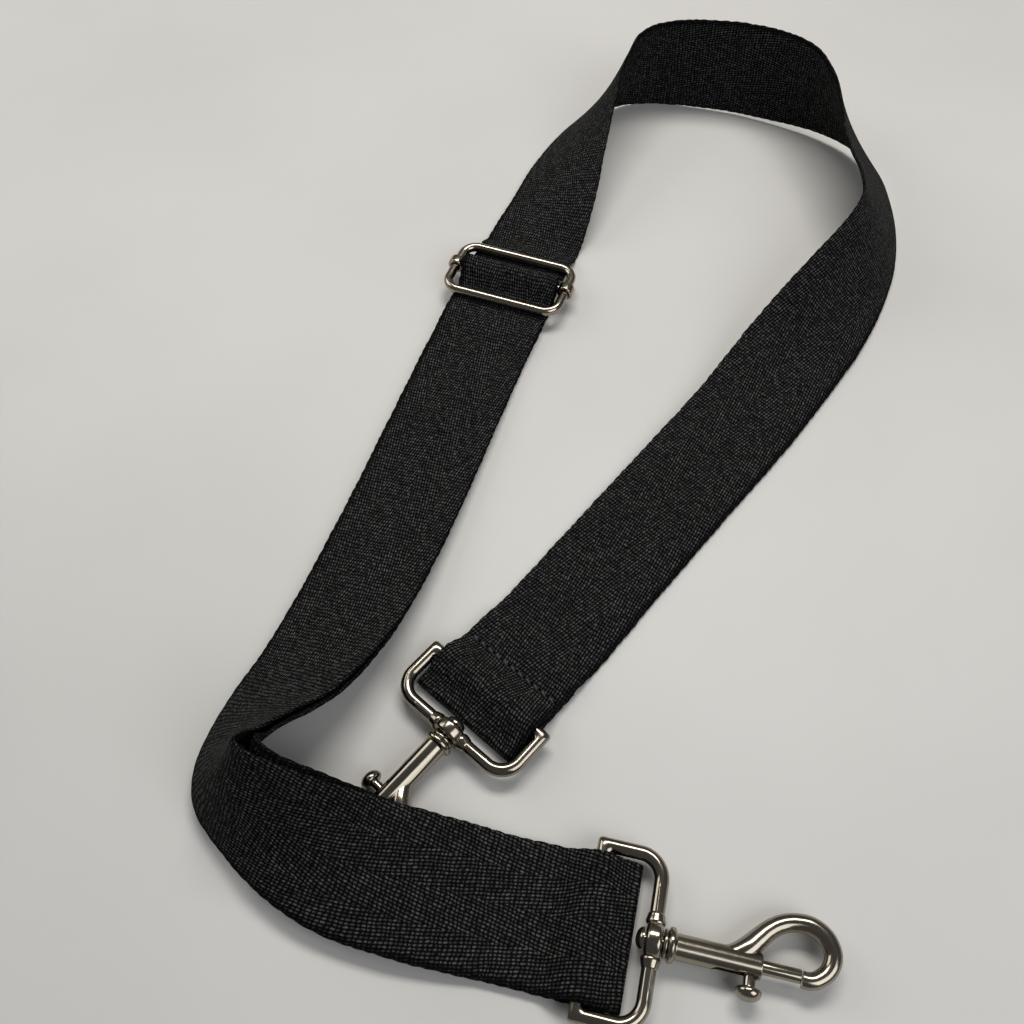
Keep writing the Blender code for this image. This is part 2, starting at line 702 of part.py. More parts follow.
# Hooks
def hook(letter, parent):
    """Hook body, swivel stud, spring bolt, its knob and spring, about an axis along local X."""
    axis = empty("swivel_axis_" + letter, (RING_DEPTH, 0.0, z_ring), 0.0, parent)
    start = boss_half + SEAT_GAP
    bead_end = start + BEAD_LENGTH
    collar_end = bead_end + COLLAR_LENGTH
    collar = COLLAR_DIAMETER / 2
    swell = BEAD_DIAMETER / 2
    mouth = BARREL_MOUTH
    body = turned("hook_body_" + letter, [
        (0.0, mouth), (barrel_radius - BARREL_EDGE, mouth), (barrel_radius, mouth - BARREL_EDGE),
        (barrel_radius, collar_end), (collar - BARREL_EDGE, collar_end),
        (collar, collar_end - BARREL_EDGE), (collar, bead_end + BARREL_EDGE),
        (collar - BARREL_EDGE, bead_end),
        (swell, bead_end), (swell, start + BEAD_LENGTH / 2), (swell - BARREL_EDGE, start + BARREL_EDGE),
        (swell - BEAD_LENGTH / 2, start), (0.0, start)], axis, ALONG_X)
    bow = smooth([list(item) for item in BOW_SHARES], 3)
    points = [(mouth + x * hook_unit, y * hook_unit, 0.0) for x, y, size in bow]
    # half a facet's turn sets a flat facet on the inside, where a bag's ring bears
    sections = [size for x, y, size in bow]
    bow_mesh = as_mesh(tube(
        "bow_" + letter, points, HOOK_SECTION / 2, axis, radii=sections, tilt=math.pi / 12))
    combine(body, bow_mesh, "UNION")
    stud_seat = cylinder(
        "stud_seat_" + letter, stud_radius + SEAT_GAP, start - CUT_OVERRUN,
        start + STUD_SEAT_DEPTH + SEAT_GAP, axis, turn=ALONG_X, as_cutter=True)
    combine(body, stud_seat, "DIFFERENCE")
    bore = cylinder(
        "bore_" + letter, bore_radius, SPRING_SEAT, mouth + BARREL_EDGE,
        axis, turn=ALONG_X, as_cutter=True)
    combine(body, bore, "DIFFERENCE")
    slot_half = STEM_DIAMETER / 2 + SEAT_GAP
    slot = flat_outline(
        "slot_" + letter,
        joined(arc((knob_station, 0.0), slot_half, -90, 90, 8),
               arc((knob_station - BOLT_TRAVEL, 0.0), slot_half, 90, 270, 8))[:-1],
        collar, axis, turn=TOWARDS_RIGHT, place=(0.0, -collar / 2 - bolt_radius / 2, 0.0))
    slot_mesh = as_mesh(slot, as_cutter=True)
    combine(body, slot_mesh, "DIFFERENCE")
    metal(body)

    head = STUD_HEAD_DIAMETER / 2
    base = -boss_half - SEAT_GAP
    dome = [(head * math.cos(math.radians(a)), base - STUD_HEAD_HEIGHT * math.sin(math.radians(a)))
            for a in (0, 15, 30, 45, 60, 75)]
    metal(turned("swivel_stud_" + letter, [
        (0.0, start + STUD_SEAT_DEPTH), (stud_radius, start + STUD_SEAT_DEPTH), (stud_radius, base),
        *dome, (0.0, base - STUD_HEAD_HEIGHT)], axis, ALONG_X, sides=20))

    metal(turned("plunger_" + letter, [
        (0.0, bolt_tip), (bolt_radius - BOLT_EDGE, bolt_tip), (bolt_radius, bolt_tip - BOLT_EDGE),
        (bolt_radius, bolt_tail), (0.0, bolt_tail)], axis, ALONG_X, sides=20))

    knob = KNOB_DIAMETER / 2
    stem = STEM_DIAMETER / 2
    top = STEM_REACH + KNOB_HEIGHT
    metal(turned("thumb_knob_" + letter, [
        (0.0, top), (knob * 0.42, top - KNOB_HEIGHT * 0.05), (knob * 0.75, top - KNOB_HEIGHT * 0.2),
        (knob * 0.95, top - KNOB_HEIGHT * 0.45), (knob, top - KNOB_HEIGHT * 0.7),
        (knob * 0.93, top - KNOB_HEIGHT * 0.9), (knob * 0.75, STEM_REACH),
        (stem, STEM_REACH), (stem, bolt_radius + SEAT_GAP), (0.0, bolt_radius + SEAT_GAP)],
        axis, TOWARDS_RIGHT, place=(knob_station, 0.0, 0.0), sides=20))

    wire = SPRING_WIRE / 2
    low = SPRING_SEAT + SEAT_GAP + wire
    high = bolt_tail - SEAT_GAP - wire
    around = SPRING_DIAMETER / 2 - wire
    count = SPRING_CURLS * SPRING_CURL_POINTS
    coil = []
    for i in range(count + 1):
        angle = 2 * math.pi * i / SPRING_CURL_POINTS
        coil.append((low + (high - low) * i / count, around * math.cos(angle), around * math.sin(angle)))
    least = min(
        (math.dist(coil[i], coil[k]) - SPRING_WIRE
         for i in range(len(coil)) for k in range(i + SPRING_CURL_POINTS - 2, len(coil))))
    print("spring", letter, "least gap to itself", round(least * 1000, 2), "mm")
    metal(tube("spring_" + letter, coil, wire, axis, resolution=1))


for letter, parent in (("a", parent_a), ("b", parent_b)):
    ring("ring_" + letter, parent)
    hook(letter, parent)


# Sliding buckle
def buckle():
    corner_x = FRAME_HALF - FRAME_CORNER
    corner_y = frame_side - FRAME_CORNER
    path = joined(
        arc((corner_x, corner_y), FRAME_CORNER, 90, 0, 5),
        arc((corner_x, -corner_y), FRAME_CORNER, 0, -90, 5),
        arc((-corner_x, -corner_y), FRAME_CORNER, -90, -180, 5),
        arc((-corner_x, corner_y), FRAME_CORNER, 180, 90, 5))
    points = [(x + FRAME_AHEAD, y, z_bar) for x, y in path]
    metal(tube("slider_frame", points, frame_radius, parent_buckle, cyclic=True))
    bar = cylinder(
        "slider_bar", bar_radius, -frame_side + eye_radius - BAR_EYE_WALL / 2,
        frame_side - eye_radius + BAR_EYE_WALL / 2, parent_buckle,
        turn=ALONG_Y, place=(0.0, 0.0, z_bar), sides=16)
    holes = []
    for side, name in ((1, "left"), (-1, "right")):
        place = (0.0, side * frame_side, z_bar)
        eye = cylinder(
            "bar_eye_" + name, eye_radius, -BAR_EYE_LENGTH / 2, BAR_EYE_LENGTH / 2, parent_buckle,
            turn=ALONG_X, place=place, sides=20)
        combine(bar, eye, "UNION")
        holes.append(cylinder(
            "bar_eye_hole_" + name, frame_radius + SEAT_GAP, -BAR_EYE_LENGTH, BAR_EYE_LENGTH, parent_buckle,
            turn=ALONG_X, place=place, as_cutter=True, sides=20))
    for hole in holes:
        combine(bar, hole, "DIFFERENCE")
    metal(bar)


buckle()


# Round pieces are shaded smooth, and the part is centred over its own base
def settle():
    bpy.context.view_layer.update()
    graph = bpy.context.evaluated_depsgraph_get()
    low = [math.inf, math.inf]
    high = [-math.inf, -math.inf]
    for item in groups["bag_strap"].objects:
        if item.type == "EMPTY":
            continue
        seen = item.evaluated_get(graph)
        data = seen.to_mesh()
        for vert in data.vertices:
            place = seen.matrix_world @ vert.co
            for i in range(2):
                low[i] = min(low[i], place[i])
                high[i] = max(high[i], place[i])
        seen.to_mesh_clear()
    root.location = (-(low[0] + high[0]) / 2, -(low[1] + high[1]) / 2, 0.0)
    for item in groups["bag_strap"].objects:
        if item.type == "MESH":
            item.data.shade_smooth()
            item.data.set_sharp_from_angle(angle=math.radians(35))
    bpy.context.view_layer.update()


settle()
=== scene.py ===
"""Looks of the bag strap: woven band, nickel hardware, stitching, table and soft studio light."""
import json
import math

import bmesh
import bpy
import numpy as np
from mathutils import Matrix, Vector


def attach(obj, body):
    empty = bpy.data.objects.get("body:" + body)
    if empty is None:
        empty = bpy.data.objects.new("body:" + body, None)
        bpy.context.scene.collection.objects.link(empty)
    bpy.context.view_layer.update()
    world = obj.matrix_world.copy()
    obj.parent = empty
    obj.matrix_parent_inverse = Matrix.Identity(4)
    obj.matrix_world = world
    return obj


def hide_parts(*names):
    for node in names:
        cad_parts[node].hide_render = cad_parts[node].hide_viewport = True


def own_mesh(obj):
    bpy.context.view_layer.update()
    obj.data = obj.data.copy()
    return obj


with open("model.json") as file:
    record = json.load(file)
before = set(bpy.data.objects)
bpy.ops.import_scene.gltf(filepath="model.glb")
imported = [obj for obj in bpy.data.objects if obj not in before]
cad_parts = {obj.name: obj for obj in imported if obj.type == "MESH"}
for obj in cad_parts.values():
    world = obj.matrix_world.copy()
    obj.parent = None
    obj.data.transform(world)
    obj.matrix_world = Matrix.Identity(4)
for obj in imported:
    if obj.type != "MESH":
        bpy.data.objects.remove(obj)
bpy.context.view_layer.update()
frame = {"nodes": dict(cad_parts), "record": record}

MM = 0.001

# Sizes of the band and its hardware in millimetres, as the solids have them
WIDTH = 38.0
THICK = 1.3
GAP = 0.3
LAYER = THICK + GAP
Z1 = THICK / 2
Z2 = Z1 + LAYER
Z3 = Z2 + LAYER
Z_RING = 5.0
CROSSBAR = 4.0
RING_DEPTH = 16.6
Z_BAR = 6.55
WRAP = 2.55
HUMP = 11.5
HUMP_FALL = 50.0
HUMP_FOOT_RADIUS = 4.0
FLAT_END = -16.25
NOSE = 11.4
NOSE_RADIUS = 1.4
EYE_A = 24.0
EYE_B = 31.2
EYE_TAIL = 29.0
STEP = 11.0
CROSS_BACK = 26.0
CROSS_FRONT = 37.0
SEWN_TAIL = 24.0
WRAP_RUN = 5.5

RING_A = (14.9, 50.0, math.radians(-15.8))
RING_B = (-10.0, 117.1, math.radians(225.5))
BUCKLE = (4.3, 288.0, math.radians(246.5))

joints = {j["name"]: j for j in frame["record"]["behaviour"]["joints"]}
hinge_a = joints["ring_a_hinge"]["pos_m"]
SHIFT = Vector((hinge_a[0] / MM - RING_A[0], hinge_a[1] / MM - RING_A[1], 0.0))

# Route of the band: x, y, lift of the outer edge, lean
LOOP = [
    (31.0, 160.5, 0.0, 0), (58.0, 189.5, 0.0, 2), (84.0, 217.0, 0.0, 6),
    (104.5, 240.0, 0.0, 17), (123.0, 259.5, 0.0, 36), (137.5, 277.0, 0.0, 52),
    (145.5, 290.5, 0.5, 58), (149.0, 305.0, 1.0, 56), (150.0, 320.5, 1.5, 52),
    (149.5, 336.0, 2.5, 52), (147.0, 349.0, 3.0, 60), (142.0, 362.5, 3.0, 74),
    (134.5, 375.0, 2.5, 89), (124.5, 384.5, 1.5, 99), (109.5, 393.0, 1.0, 102),
    (91.0, 398.5, 0.5, 99), (74.0, 400.5, 0.0, 91), (62.5, 396.5, 0.5, 80),
    (53.5, 388.0, 1.0, 66), (45.5, 378.5, 0.5, 53), (37.5, 365.0, 0.0, 41),
    (30.0, 348.5, 0.0, 29), (22.5, 328.5, 0.0, 15),
]
RUN = [
    (-21.0, 227.0, 0.0, 2), (-38.0, 183.0, 0.0, 5), (-52.0, 150.0, 0.0, 12),
    (-64.0, 127.5, 0.0, 25), (-74.0, 114.0, 0.5, 38), (-80.8, 104.0, 1.2, 49),
    (-84.2, 97.0, 2.0, 55), (-84.3, 90.2, 2.8, 58), (-80.0, 84.2, 3.4, 57),
    (-73.0, 79.0, 3.8, 51), (-61.0, 72.3, 3.5, 37), (-47.0, 66.5, 2.8, 21),
    (-31.5, 62.0, 2.6, 13),
]
INNER = [
    (-63.4, 127.0, 0.1, 23), (-71.6, 113.3, 0.4, 36), (-76.2, 104.9, 0.7, 46),
    (-78.6, 98.2, 1.0, 53), (-79.2, 93.0, 1.0, 59), (-76.9, 88.2, 1.4, 59),
    (-72.0, 82.8, 2.2, 52), (-60.4, 74.6, 2.6, 35), (-46.6, 67.4, 2.7, 19),
    (-31.4, 62.2, 1.9, 12),
]
INNER_FIRST = 4


# Centre lines, as the solids are built
def smooth(stations, steps):
    """Samples of a smooth curve through the stations."""
    ends = [[2 * a - b for a, b in zip(stations[0], stations[1])],
            [2 * a - b for a, b in zip(stations[-1], stations[-2])]]
    points = [ends[0], *stations, ends[1]]
    found = []
    for i in range(1, len(points) - 2):
        for k in range(steps):
            t = k / steps
            found.append([
                0.5 * (2 * b + (c - a) * t + (2 * a - 5 * b + 4 * c - d) * t ** 2
                       + (3 * b - a - 3 * c + d) * t ** 3)
                for a, b, c, d in zip(points[i - 1], points[i], points[i + 1], points[i + 2])])
    found.append(list(points[-2]))
    return found


def station(item, base):
    """Centre and lean of the band from a route's (x, y, lift of the outer edge, lean)."""
    lean = math.radians(item[3])
    height = base + item[2] + WIDTH / 2 * math.sin(lean) + THICK / 2 * abs(math.cos(lean))
    return [item[0], item[1], height, lean]


def ahead(place, distance, height):
    return [place[0] + math.cos(place[2]) * distance,
            place[1] + math.sin(place[2]) * distance, height]


def free_run(items, base, start, start_dir, end, end_dir, lead_in, lead_out, steps):
    """Samples of a free run between two pieces of hardware, straight where it meets them."""
    before = [start[0] - math.cos(start_dir) * lead_in,
              start[1] - math.sin(start_dir) * lead_in, start[2], 0.0]
    after = [end[0] + math.cos(end_dir) * lead_out,
             end[1] + math.sin(end_dir) * lead_out, end[2], 0.0]
    stations = [before, [*start, 0.0], *[station(i, base) for i in items], [*end, 0.0], after]
    return smooth(stations, steps)[steps:-steps]


def axes_of(samples):
    """Along, across and normal of the band at each sample."""
    found = []
    for i, sample in enumerate(samples):
        a = Vector(samples[max(i - 1, 0)][:3])
        b = Vector(samples[min(i + 1, len(samples) - 1)][:3])
        along = (b - a).normalized()
        level = Vector((0.0, 0.0, 1.0)).cross(along).normalized()
        rise = along.cross(level)
        cross = level * math.cos(sample[3]) + rise * math.sin(sample[3])
        found.append((along, cross, cross.cross(along)))
    return found


STEPS = 5
loop = free_run(LOOP, 0.0, ahead(RING_B, -EYE_B, Z1), RING_B[2] + math.pi,
                ahead(BUCKLE, -CROSS_BACK, Z1), BUCKLE[2], EYE_B, CROSS_BACK, STEPS)
run = free_run(RUN, LAYER, ahead(BUCKLE, CROSS_FRONT, Z2), BUCKLE[2],
               ahead(RING_A, -EYE_A, Z2), RING_A[2], CROSS_FRONT, EYE_A, STEPS)
run_axes = axes_of(run)
under = []
for i in range(0, len(run), STEPS):
    place = Vector(run[i][:3]) + run_axes[i][2] * LAYER
    under.append([*place, run[i][3]])
inner = [station(i, 0.0) for i in INNER]
under[INNER_FIRST:INNER_FIRST + len(inner)] = inner
buckle_heading = Vector((math.cos(BUCKLE[2]), math.sin(BUCKLE[2]), 0.0))
ring_heading = Vector((math.cos(RING_A[2]), math.sin(RING_A[2]), 0.0))
first = Vector(under[0][:3]) - buckle_heading * CROSS_FRONT
last = Vector(under[-1][:3]) + ring_heading * EYE_A
under = smooth([[*first, 0.0], *under, [*last, 0.0]], STEPS)[STEPS:-STEPS]


def arc(centre, radius, start, end, count):
    """Points on an arc; its start and end are in degrees."""
    angles = [math.radians(start + (end - start) * i / count) for i in range(count + 1)]
    return [(centre[0] + radius * math.cos(a), centre[1] + radius * math.sin(a)) for a in angles]


def ease(start, end, count):
    """Points from start to end that leave and arrive level."""
    found = []
    for i in range(count + 1):
        t = i / count
        found.append((start[0] + (end[0] - start[0]) * t,
                      start[1] + (end[1] - start[1]) * t * t * (3 - 2 * t)))
    return found


def eye_side(back, tail):
    """Side view of an eye: up over the ring's crossbar, round the nose and back below."""
    over = Z_RING + CROSSBAR / 2 + GAP + THICK / 2
    fold = NOSE - THICK / 2 - NOSE_RADIUS
    return [*back, *ease((-HUMP, Z2), (0.0, over), 14),
            *ease((0.0, over), (fold, Z1 + 2 * NOSE_RADIUS), 12),
            *arc((fold, Z1 + NOSE_RADIUS), NOSE_RADIUS, 90, -90, 12), (tail, Z1)]


tail_b = NOSE - EYE_TAIL
eye_b = eye_side([(-EYE_B, Z1), *ease((tail_b - STEP, Z1), (tail_b, Z2), 8)], tail_b)
eye_a = eye_side([(-EYE_A, Z2)], -EYE_A)


def beside(path, distance):
    """The path moved sideways, to its left for a positive distance."""
    found = []
    for i, point in enumerate(path):
        before = path[max(i - 1, 0)]
        after = path[min(i + 1, len(path) - 1)]
        slope = Vector((after[0] - before[0], after[1] - before[1])).normalized()
        found.append((point[0] - slope.y * distance, point[1] + slope.x * distance))
    return found


fall = math.radians(HUMP_FALL)
foot_height = Z2 + HUMP_FOOT_RADIUS
drop = Z_BAR + WRAP * math.cos(fall) - foot_height + HUMP_FOOT_RADIUS * math.cos(fall)
foot_at = (WRAP + HUMP_FOOT_RADIUS) * math.sin(fall) + drop / math.tan(fall)
hump = [*arc((0.0, Z_BAR), WRAP, 90, 90 - HUMP_FALL, 12),
        *arc((foot_at, foot_height), HUMP_FOOT_RADIUS, 270 - HUMP_FALL, 270, 12)]
over_front = beside(hump, LAYER)
over_back = [(-x, z) for x, z in over_front[:0:-1]]
crossing = [
    (-CROSS_BACK, Z1), *ease((-CROSS_BACK + STEP / 4, Z1), (FLAT_END, Z3), 10),
    *over_back, *over_front,
    *ease((SEWN_TAIL, Z3), (SEWN_TAIL + STEP, Z2), 8), (CROSS_FRONT, Z2)]
sewn = [
    (CROSS_FRONT, Z1), *ease((WRAP_RUN, Z1), (0.0, Z_BAR - WRAP), 10),
    *arc((0.0, Z_BAR), WRAP, -90, -270, 26), *hump, (SEWN_TAIL, Z2)]


# One long line: every sample has its centre and the direction across the band
def side_samples(place, path, across_sign):
    """Samples from a side view, set along the heading of a piece of hardware."""
    heading = Vector((math.cos(place[2]), math.sin(place[2]), 0.0))
    across = Vector((0.0, 0.0, 1.0)).cross(heading) * across_sign
    found = []
    for x, z in path:
        found.append((Vector((place[0], place[1], 0.0)) + heading * x + Vector((0.0, 0.0, z)),
                      across))
    return found


def run_samples(samples):
    return [(Vector(s[:3]), a[1]) for s, a in zip(samples, axes_of(samples))]


line = [
    *side_samples(RING_B, eye_b[::-1], -1.0),
    *run_samples(loop),
    *side_samples(BUCKLE, crossing, 1.0),
    *run_samples(run),
    *side_samples(RING_A, eye_a, 1.0),
    *run_samples(under)[::-1],
    *side_samples(BUCKLE, sewn, 1.0),
]


LEAST_STEP = 0.25


def thinned(samples):
    """Without the samples that nearly repeat the one before."""
    found = [samples[0]]
    for item in samples[1:]:
        if (item[0] - found[-1][0]).length > LEAST_STEP:
            found.append(item)
    return found


line = thinned(line)
DENSE = 6


def resample(samples, step):
    """Evenly spaced samples along a smooth curve through the given ones."""
    points = np.array([list(p) + list(c) for p, c in samples])
    dense = []
    n = len(points)
    for i in range(n - 1):
        p0 = points[max(i - 1, 0)]
        p1, p2 = points[i], points[i + 1]
        p3 = points[min(i + 2, n - 1)]
        chord = max(np.linalg.norm(p2[:3] - p1[:3]), 1e-6)
        before = max(np.linalg.norm(p1[:3] - p0[:3]), 1e-6)
        after = max(np.linalg.norm(p3[:3] - p2[:3]), 1e-6)
        m1 = (p2 - p0) / (chord + before) * chord if i > 0 else p2 - p1
        m2 = (p3 - p1) / (chord + after) * chord if i < n - 2 else p2 - p1
        for k in range(DENSE):
            t = k / DENSE
            dense.append((2 * t ** 3 - 3 * t ** 2 + 1) * p1 + (t ** 3 - 2 * t ** 2 + t) * m1
                         + (3 * t ** 2 - 2 * t ** 3) * p2 + (t ** 3 - t ** 2) * m2)
    dense.append(points[-1])
    dense = np.array(dense)
    steps = np.linalg.norm(np.diff(dense[:, :3], axis=0), axis=1)
    length = np.concatenate([[0], np.cumsum(steps)])
    count = int(length[-1] / step)
    at = np.linspace(0, length[-1], count + 1)
    even = np.column_stack([np.interp(at, length, dense[:, k]) for k in range(6)])
    return at, even[:, :3], even[:, 3:]


BAND_STEP = 0.65
arc_length, centres, across = resample(line, BAND_STEP)
along = np.gradient(centres, axis=0)
along /= np.linalg.norm(along, axis=1)[:, None]
across -= along * np.sum(across * along, axis=1)[:, None]
across /= np.linalg.norm(across, axis=1)[:, None]
normal = np.cross(along, across)
print("band length mm", round(float(arc_length[-1]), 1), "samples", len(arc_length))


OCTAVES = ((1.0, 1.0), (2.3, 0.5), (5.1, 0.25))


def noise(x, seed):
    """A smooth, repeatable wander along the band."""
    found = np.zeros_like(x)
    for k, (rate, size) in enumerate(OCTAVES):
        swing = 1.3 * np.sin(x * rate * 3.1 + seed + k)
        found += size * np.sin(x * rate * 2 * math.pi + seed * (1.7 + k) + swing)
    return found / sum(size for rate, size in OCTAVES)


# Cross-section of the webbing: flat faces, rounded woven edges
HALF = WIDTH / 2
FACE = THICK / 2
COLUMNS = 12
EDGE_ROUND = 0.55
EDGE_FULLNESS = 0.97
section = []
for side in (1, -1):
    for i in range(COLUMNS + 1):
        across_at = -HALF + EDGE_ROUND + (WIDTH - 2 * EDGE_ROUND) * i / COLUMNS
        section.append((side * across_at, side * FACE))
    for angle in (60, 30, 0, -30, -60):
        section.append((side * (HALF - EDGE_ROUND + EDGE_ROUND * math.cos(math.radians(angle))),
                        side * FACE * EDGE_FULLNESS * math.sin(math.radians(angle))))
section = np.array(section)

# Small scallops and a slow wander along both edges
SCALLOP = 0.26
SCALLOP_PITCH = 3.9
SCALLOP_UNEVEN = 0.35
WANDER = 0.12
EDGE_BAND = 2.0
count = len(arc_length)
ring_size = len(section)
turns = arc_length / SCALLOP_PITCH + SCALLOP_UNEVEN * noise(arc_length / 31.0, 2.0)
scallop = SCALLOP * np.abs(np.sin(math.pi * turns)) - SCALLOP / 2
wander_left = WANDER * noise(arc_length / 23.0, 1.0)
wander_right = WANDER * noise(arc_length / 19.0, 4.0)
verts = np.zeros((count, ring_size, 3))
for j, (w, h) in enumerate(section):
    edge = min(1.0, max(0.0, (abs(w) - HALF + EDGE_BAND) / EDGE_BAND))
    shift = (scallop + (wander_right if w > 0 else wander_left)) * edge * (1 if w > 0 else -1)
    verts[:, j] = centres + across * (w + shift)[:, None] + normal * h
verts = (verts + np.array(SHIFT)) * MM


def linked(name, data):
    item = bpy.data.objects.new(name, data)
    bpy.context.scene.collection.objects.link(item)
    return item


UV_PER_MM = 0.01
mesh = bpy.data.meshes.new("woven_band")
faces = []
for i in range(count - 1):
    a = i * ring_size
    b = a + ring_size
    for j in range(ring_size):
        k = (j + 1) % ring_size
        faces.append((a + j, a + k, b + k, b + j))
faces.append(tuple(range(ring_size - 1, -1, -1)))
faces.append(tuple(range((count - 1) * ring_size, count * ring_size)))
mesh.from_pydata(verts.reshape(-1, 3).tolist(), [], faces)
section_steps = np.linalg.norm(np.diff(np.vstack([section, section[:1]]), axis=0), axis=1)
around = np.concatenate([[0], np.cumsum(section_steps)])
HALF_AROUND = float(around[-1]) / 2
layer = mesh.uv_layers.new(name="weave")
uv = np.zeros((len(mesh.loops), 2))
cursor = 0
for i in range(count - 1):
    for j in range(ring_size):
        for di, dj in ((0, 0), (0, 1), (1, 1), (1, 0)):
            uv[cursor] = (arc_length[i + di], around[j + dj])
            cursor += 1
layer.data.foreach_set("uv", (uv * UV_PER_MM).ravel())
band = linked("woven_band", mesh)
check = bmesh.new()
check.from_mesh(mesh)
bmesh.ops.recalc_face_normals(check, faces=check.faces)
check.to_mesh(mesh)
check.free()
mesh.shade_smooth()


# Materials
def new_material(name):
    found = bpy.data.materials.new(name)
    found.use_nodes = True
    return found, found.node_tree, found.node_tree.nodes["Principled BSDF"]


class Maths:
    """Short calls for a material's maths nodes."""

    def __init__(self, tree):
        self.tree = tree

    def op(self, kind, *values, clamp=False):
        item = self.tree.nodes.new("ShaderNodeMath")
        item.operation = kind
        item.use_clamp = clamp
        for i, value in enumerate(values):
            if isinstance(value, (int, float)):
                item.inputs[i].default_value = value
            else:
                self.tree.links.new(value, item.inputs[i])
        return item.outputs[0]

    def ramp(self, value, stops):
        item = self.tree.nodes.new("ShaderNodeValToRGB")
        self.tree.links.new(value, item.inputs[0])
        ramp = item.color_ramp
        while len(ramp.elements) < len(stops):
            ramp.elements.new(0.5)
        for element, (place, colour) in zip(ramp.elements, stops):
            element.position = place
            element.color = (*colour, 1.0)
        return item.outputs[0]

    def noise(self, vector, scale, detail=3.0, rough=0.5):
        item = self.tree.nodes.new("ShaderNodeTexNoise")
        item.inputs["Scale"].default_value = scale
        item.inputs["Detail"].default_value = detail
        item.inputs["Roughness"].default_value = rough
        self.tree.links.new(vector, item.inputs["Vector"])
        return item.outputs["Fac"]


# Herringbone twill: floats in rows across the band, their columns drifting one way and then
# the other; pitches, stripe and selvedge are in millimetres
ROW_PITCH = 1.27
COLUMN_PITCH = 0.97
DRIFT = 0.19
STRIPE = 9.5
SELVEDGE = 1.0
STRIPE_SLACK = 0.45
ROW_SLACK = 1.6
ROW_JITTER = 0.9
COLUMN_SLACK = 0.8
woven, tree, shader = new_material("woven_webbing")
m = Maths(tree)
coords = tree.nodes.new("ShaderNodeUVMap")
coords.uv_map = "weave"
split = tree.nodes.new("ShaderNodeSeparateXYZ")
tree.links.new(coords.outputs[0], split.inputs[0])
slack = m.op("SUBTRACT", m.noise(coords.outputs[0], 16.0, 3.0), 0.5)
jitter = m.op("SUBTRACT", m.noise(coords.outputs[0], 95.0, 1.0), 0.5)
u = m.op("MULTIPLY", split.outputs[0], 1 / UV_PER_MM)
v = m.op("MULTIPLY", split.outputs[1], 1 / UV_PER_MM)
stripe_at = m.op("ADD", m.op("DIVIDE", v, STRIPE), m.op("MULTIPLY", slack, STRIPE_SLACK))
odd_stripe = m.op("FLOORED_MODULO", m.op("FLOOR", stripe_at), 2.0)
turned_way = m.op("SUBTRACT", m.op("MULTIPLY", odd_stripe, 2.0), 1.0)
uneven = m.op("ADD", m.op("MULTIPLY", slack, ROW_SLACK), m.op("MULTIPLY", jitter, ROW_JITTER))
row_at = m.op("ADD", m.op("DIVIDE", u, ROW_PITCH), uneven)
drifted = m.op("MULTIPLY", m.op("MULTIPLY", u, DRIFT), turned_way)
moved = m.op("ADD", drifted, m.op("MULTIPLY", slack, COLUMN_SLACK))
column_at = m.op("ADD", m.op("DIVIDE", v, COLUMN_PITCH), moved)
in_row = m.op("SUBTRACT", m.op("FRACT", row_at), 0.5)
in_column = m.op("SUBTRACT", m.op("FRACT", column_at), 0.5)
cell = tree.nodes.new("ShaderNodeTexWhiteNoise")
cell.noise_dimensions = "3D"
cell_id = tree.nodes.new("ShaderNodeCombineXYZ")
tree.links.new(m.op("FLOOR", row_at), cell_id.inputs[0])
tree.links.new(m.op("FLOOR", column_at), cell_id.inputs[1])
tree.links.new(m.op("FLOOR", stripe_at), cell_id.inputs[2])
tree.links.new(cell_id.outputs[0], cell.inputs["Vector"])
# Per-float random value: it varies each float's height for the bump and brightens some crests in the colour
# as painted glints
cell_height_and_glint = cell.outputs["Value"]
across_float = m.op("POWER", m.op("COSINE", m.op("MULTIPLY", in_column, math.pi)), 1.1)
along_float = m.op("POWER", m.op("COSINE", m.op("MULTIPLY", in_row, math.pi)), 0.8)
height = m.op("MULTIPLY", across_float, along_float)
fibre = m.noise(coords.outputs[0], 2600.0, 2.0)
height = m.op("MULTIPLY", height, m.op("ADD", m.op("MULTIPLY", fibre, 0.5), 0.75))
# Colour darker along both edges: the factor falls from 1 in the middle to 0 over the side faces and the
# strip beside them
across_face = m.op("PINGPONG", v, HALF_AROUND)
from_middle = m.op("ABSOLUTE", m.op("SUBTRACT", across_face, HALF_AROUND / 2))
into_selvedge = m.op("SUBTRACT", from_middle, HALF_AROUND / 2 - THICK / 2 - SELVEDGE)
selvedge_share = m.op("MULTIPLY", m.op("MAXIMUM", into_selvedge, 0.0), 1.0 / SELVEDGE)
edge_dimming = m.op("SUBTRACT", 1.0, m.op("SMOOTH_MIN", 1.0, selvedge_share, 0.2))
height_all = m.op("MULTIPLY", height, m.op("ADD", m.op("MULTIPLY", cell_height_and_glint, 0.42), 0.6))

# Needle holes beside the row of stitches: the bump dents there and the colour is darkened as painted shade
# in the holes
STITCHES = 11
STITCH_PITCH = 3.08
STITCH_AT = -11.0
PIT = 0.8
seam_heading = Vector((math.cos(RING_B[2]), math.sin(RING_B[2]), 0.0))
seam_ahead = (centres - np.array((RING_B[0], RING_B[1], 0.0))) @ np.array(seam_heading)
near_ring_b = (arc_length < EYE_B * 3) & (centres[:, 2] > Z2 - 0.5)
seam_row = int(np.argmin(np.where(near_ring_b, np.abs(seam_ahead - STITCH_AT), np.inf)))
seam_middle = around[COLUMNS] / 2 + (0.0 if normal[seam_row][2] > 0 else HALF_AROUND)
off_row = m.op("DIVIDE", m.op("SUBTRACT", u, float(arc_length[seam_row])), PIT)
stitch_at = m.op("DIVIDE", m.op("SUBTRACT", v, float(seam_middle)), STITCH_PITCH)
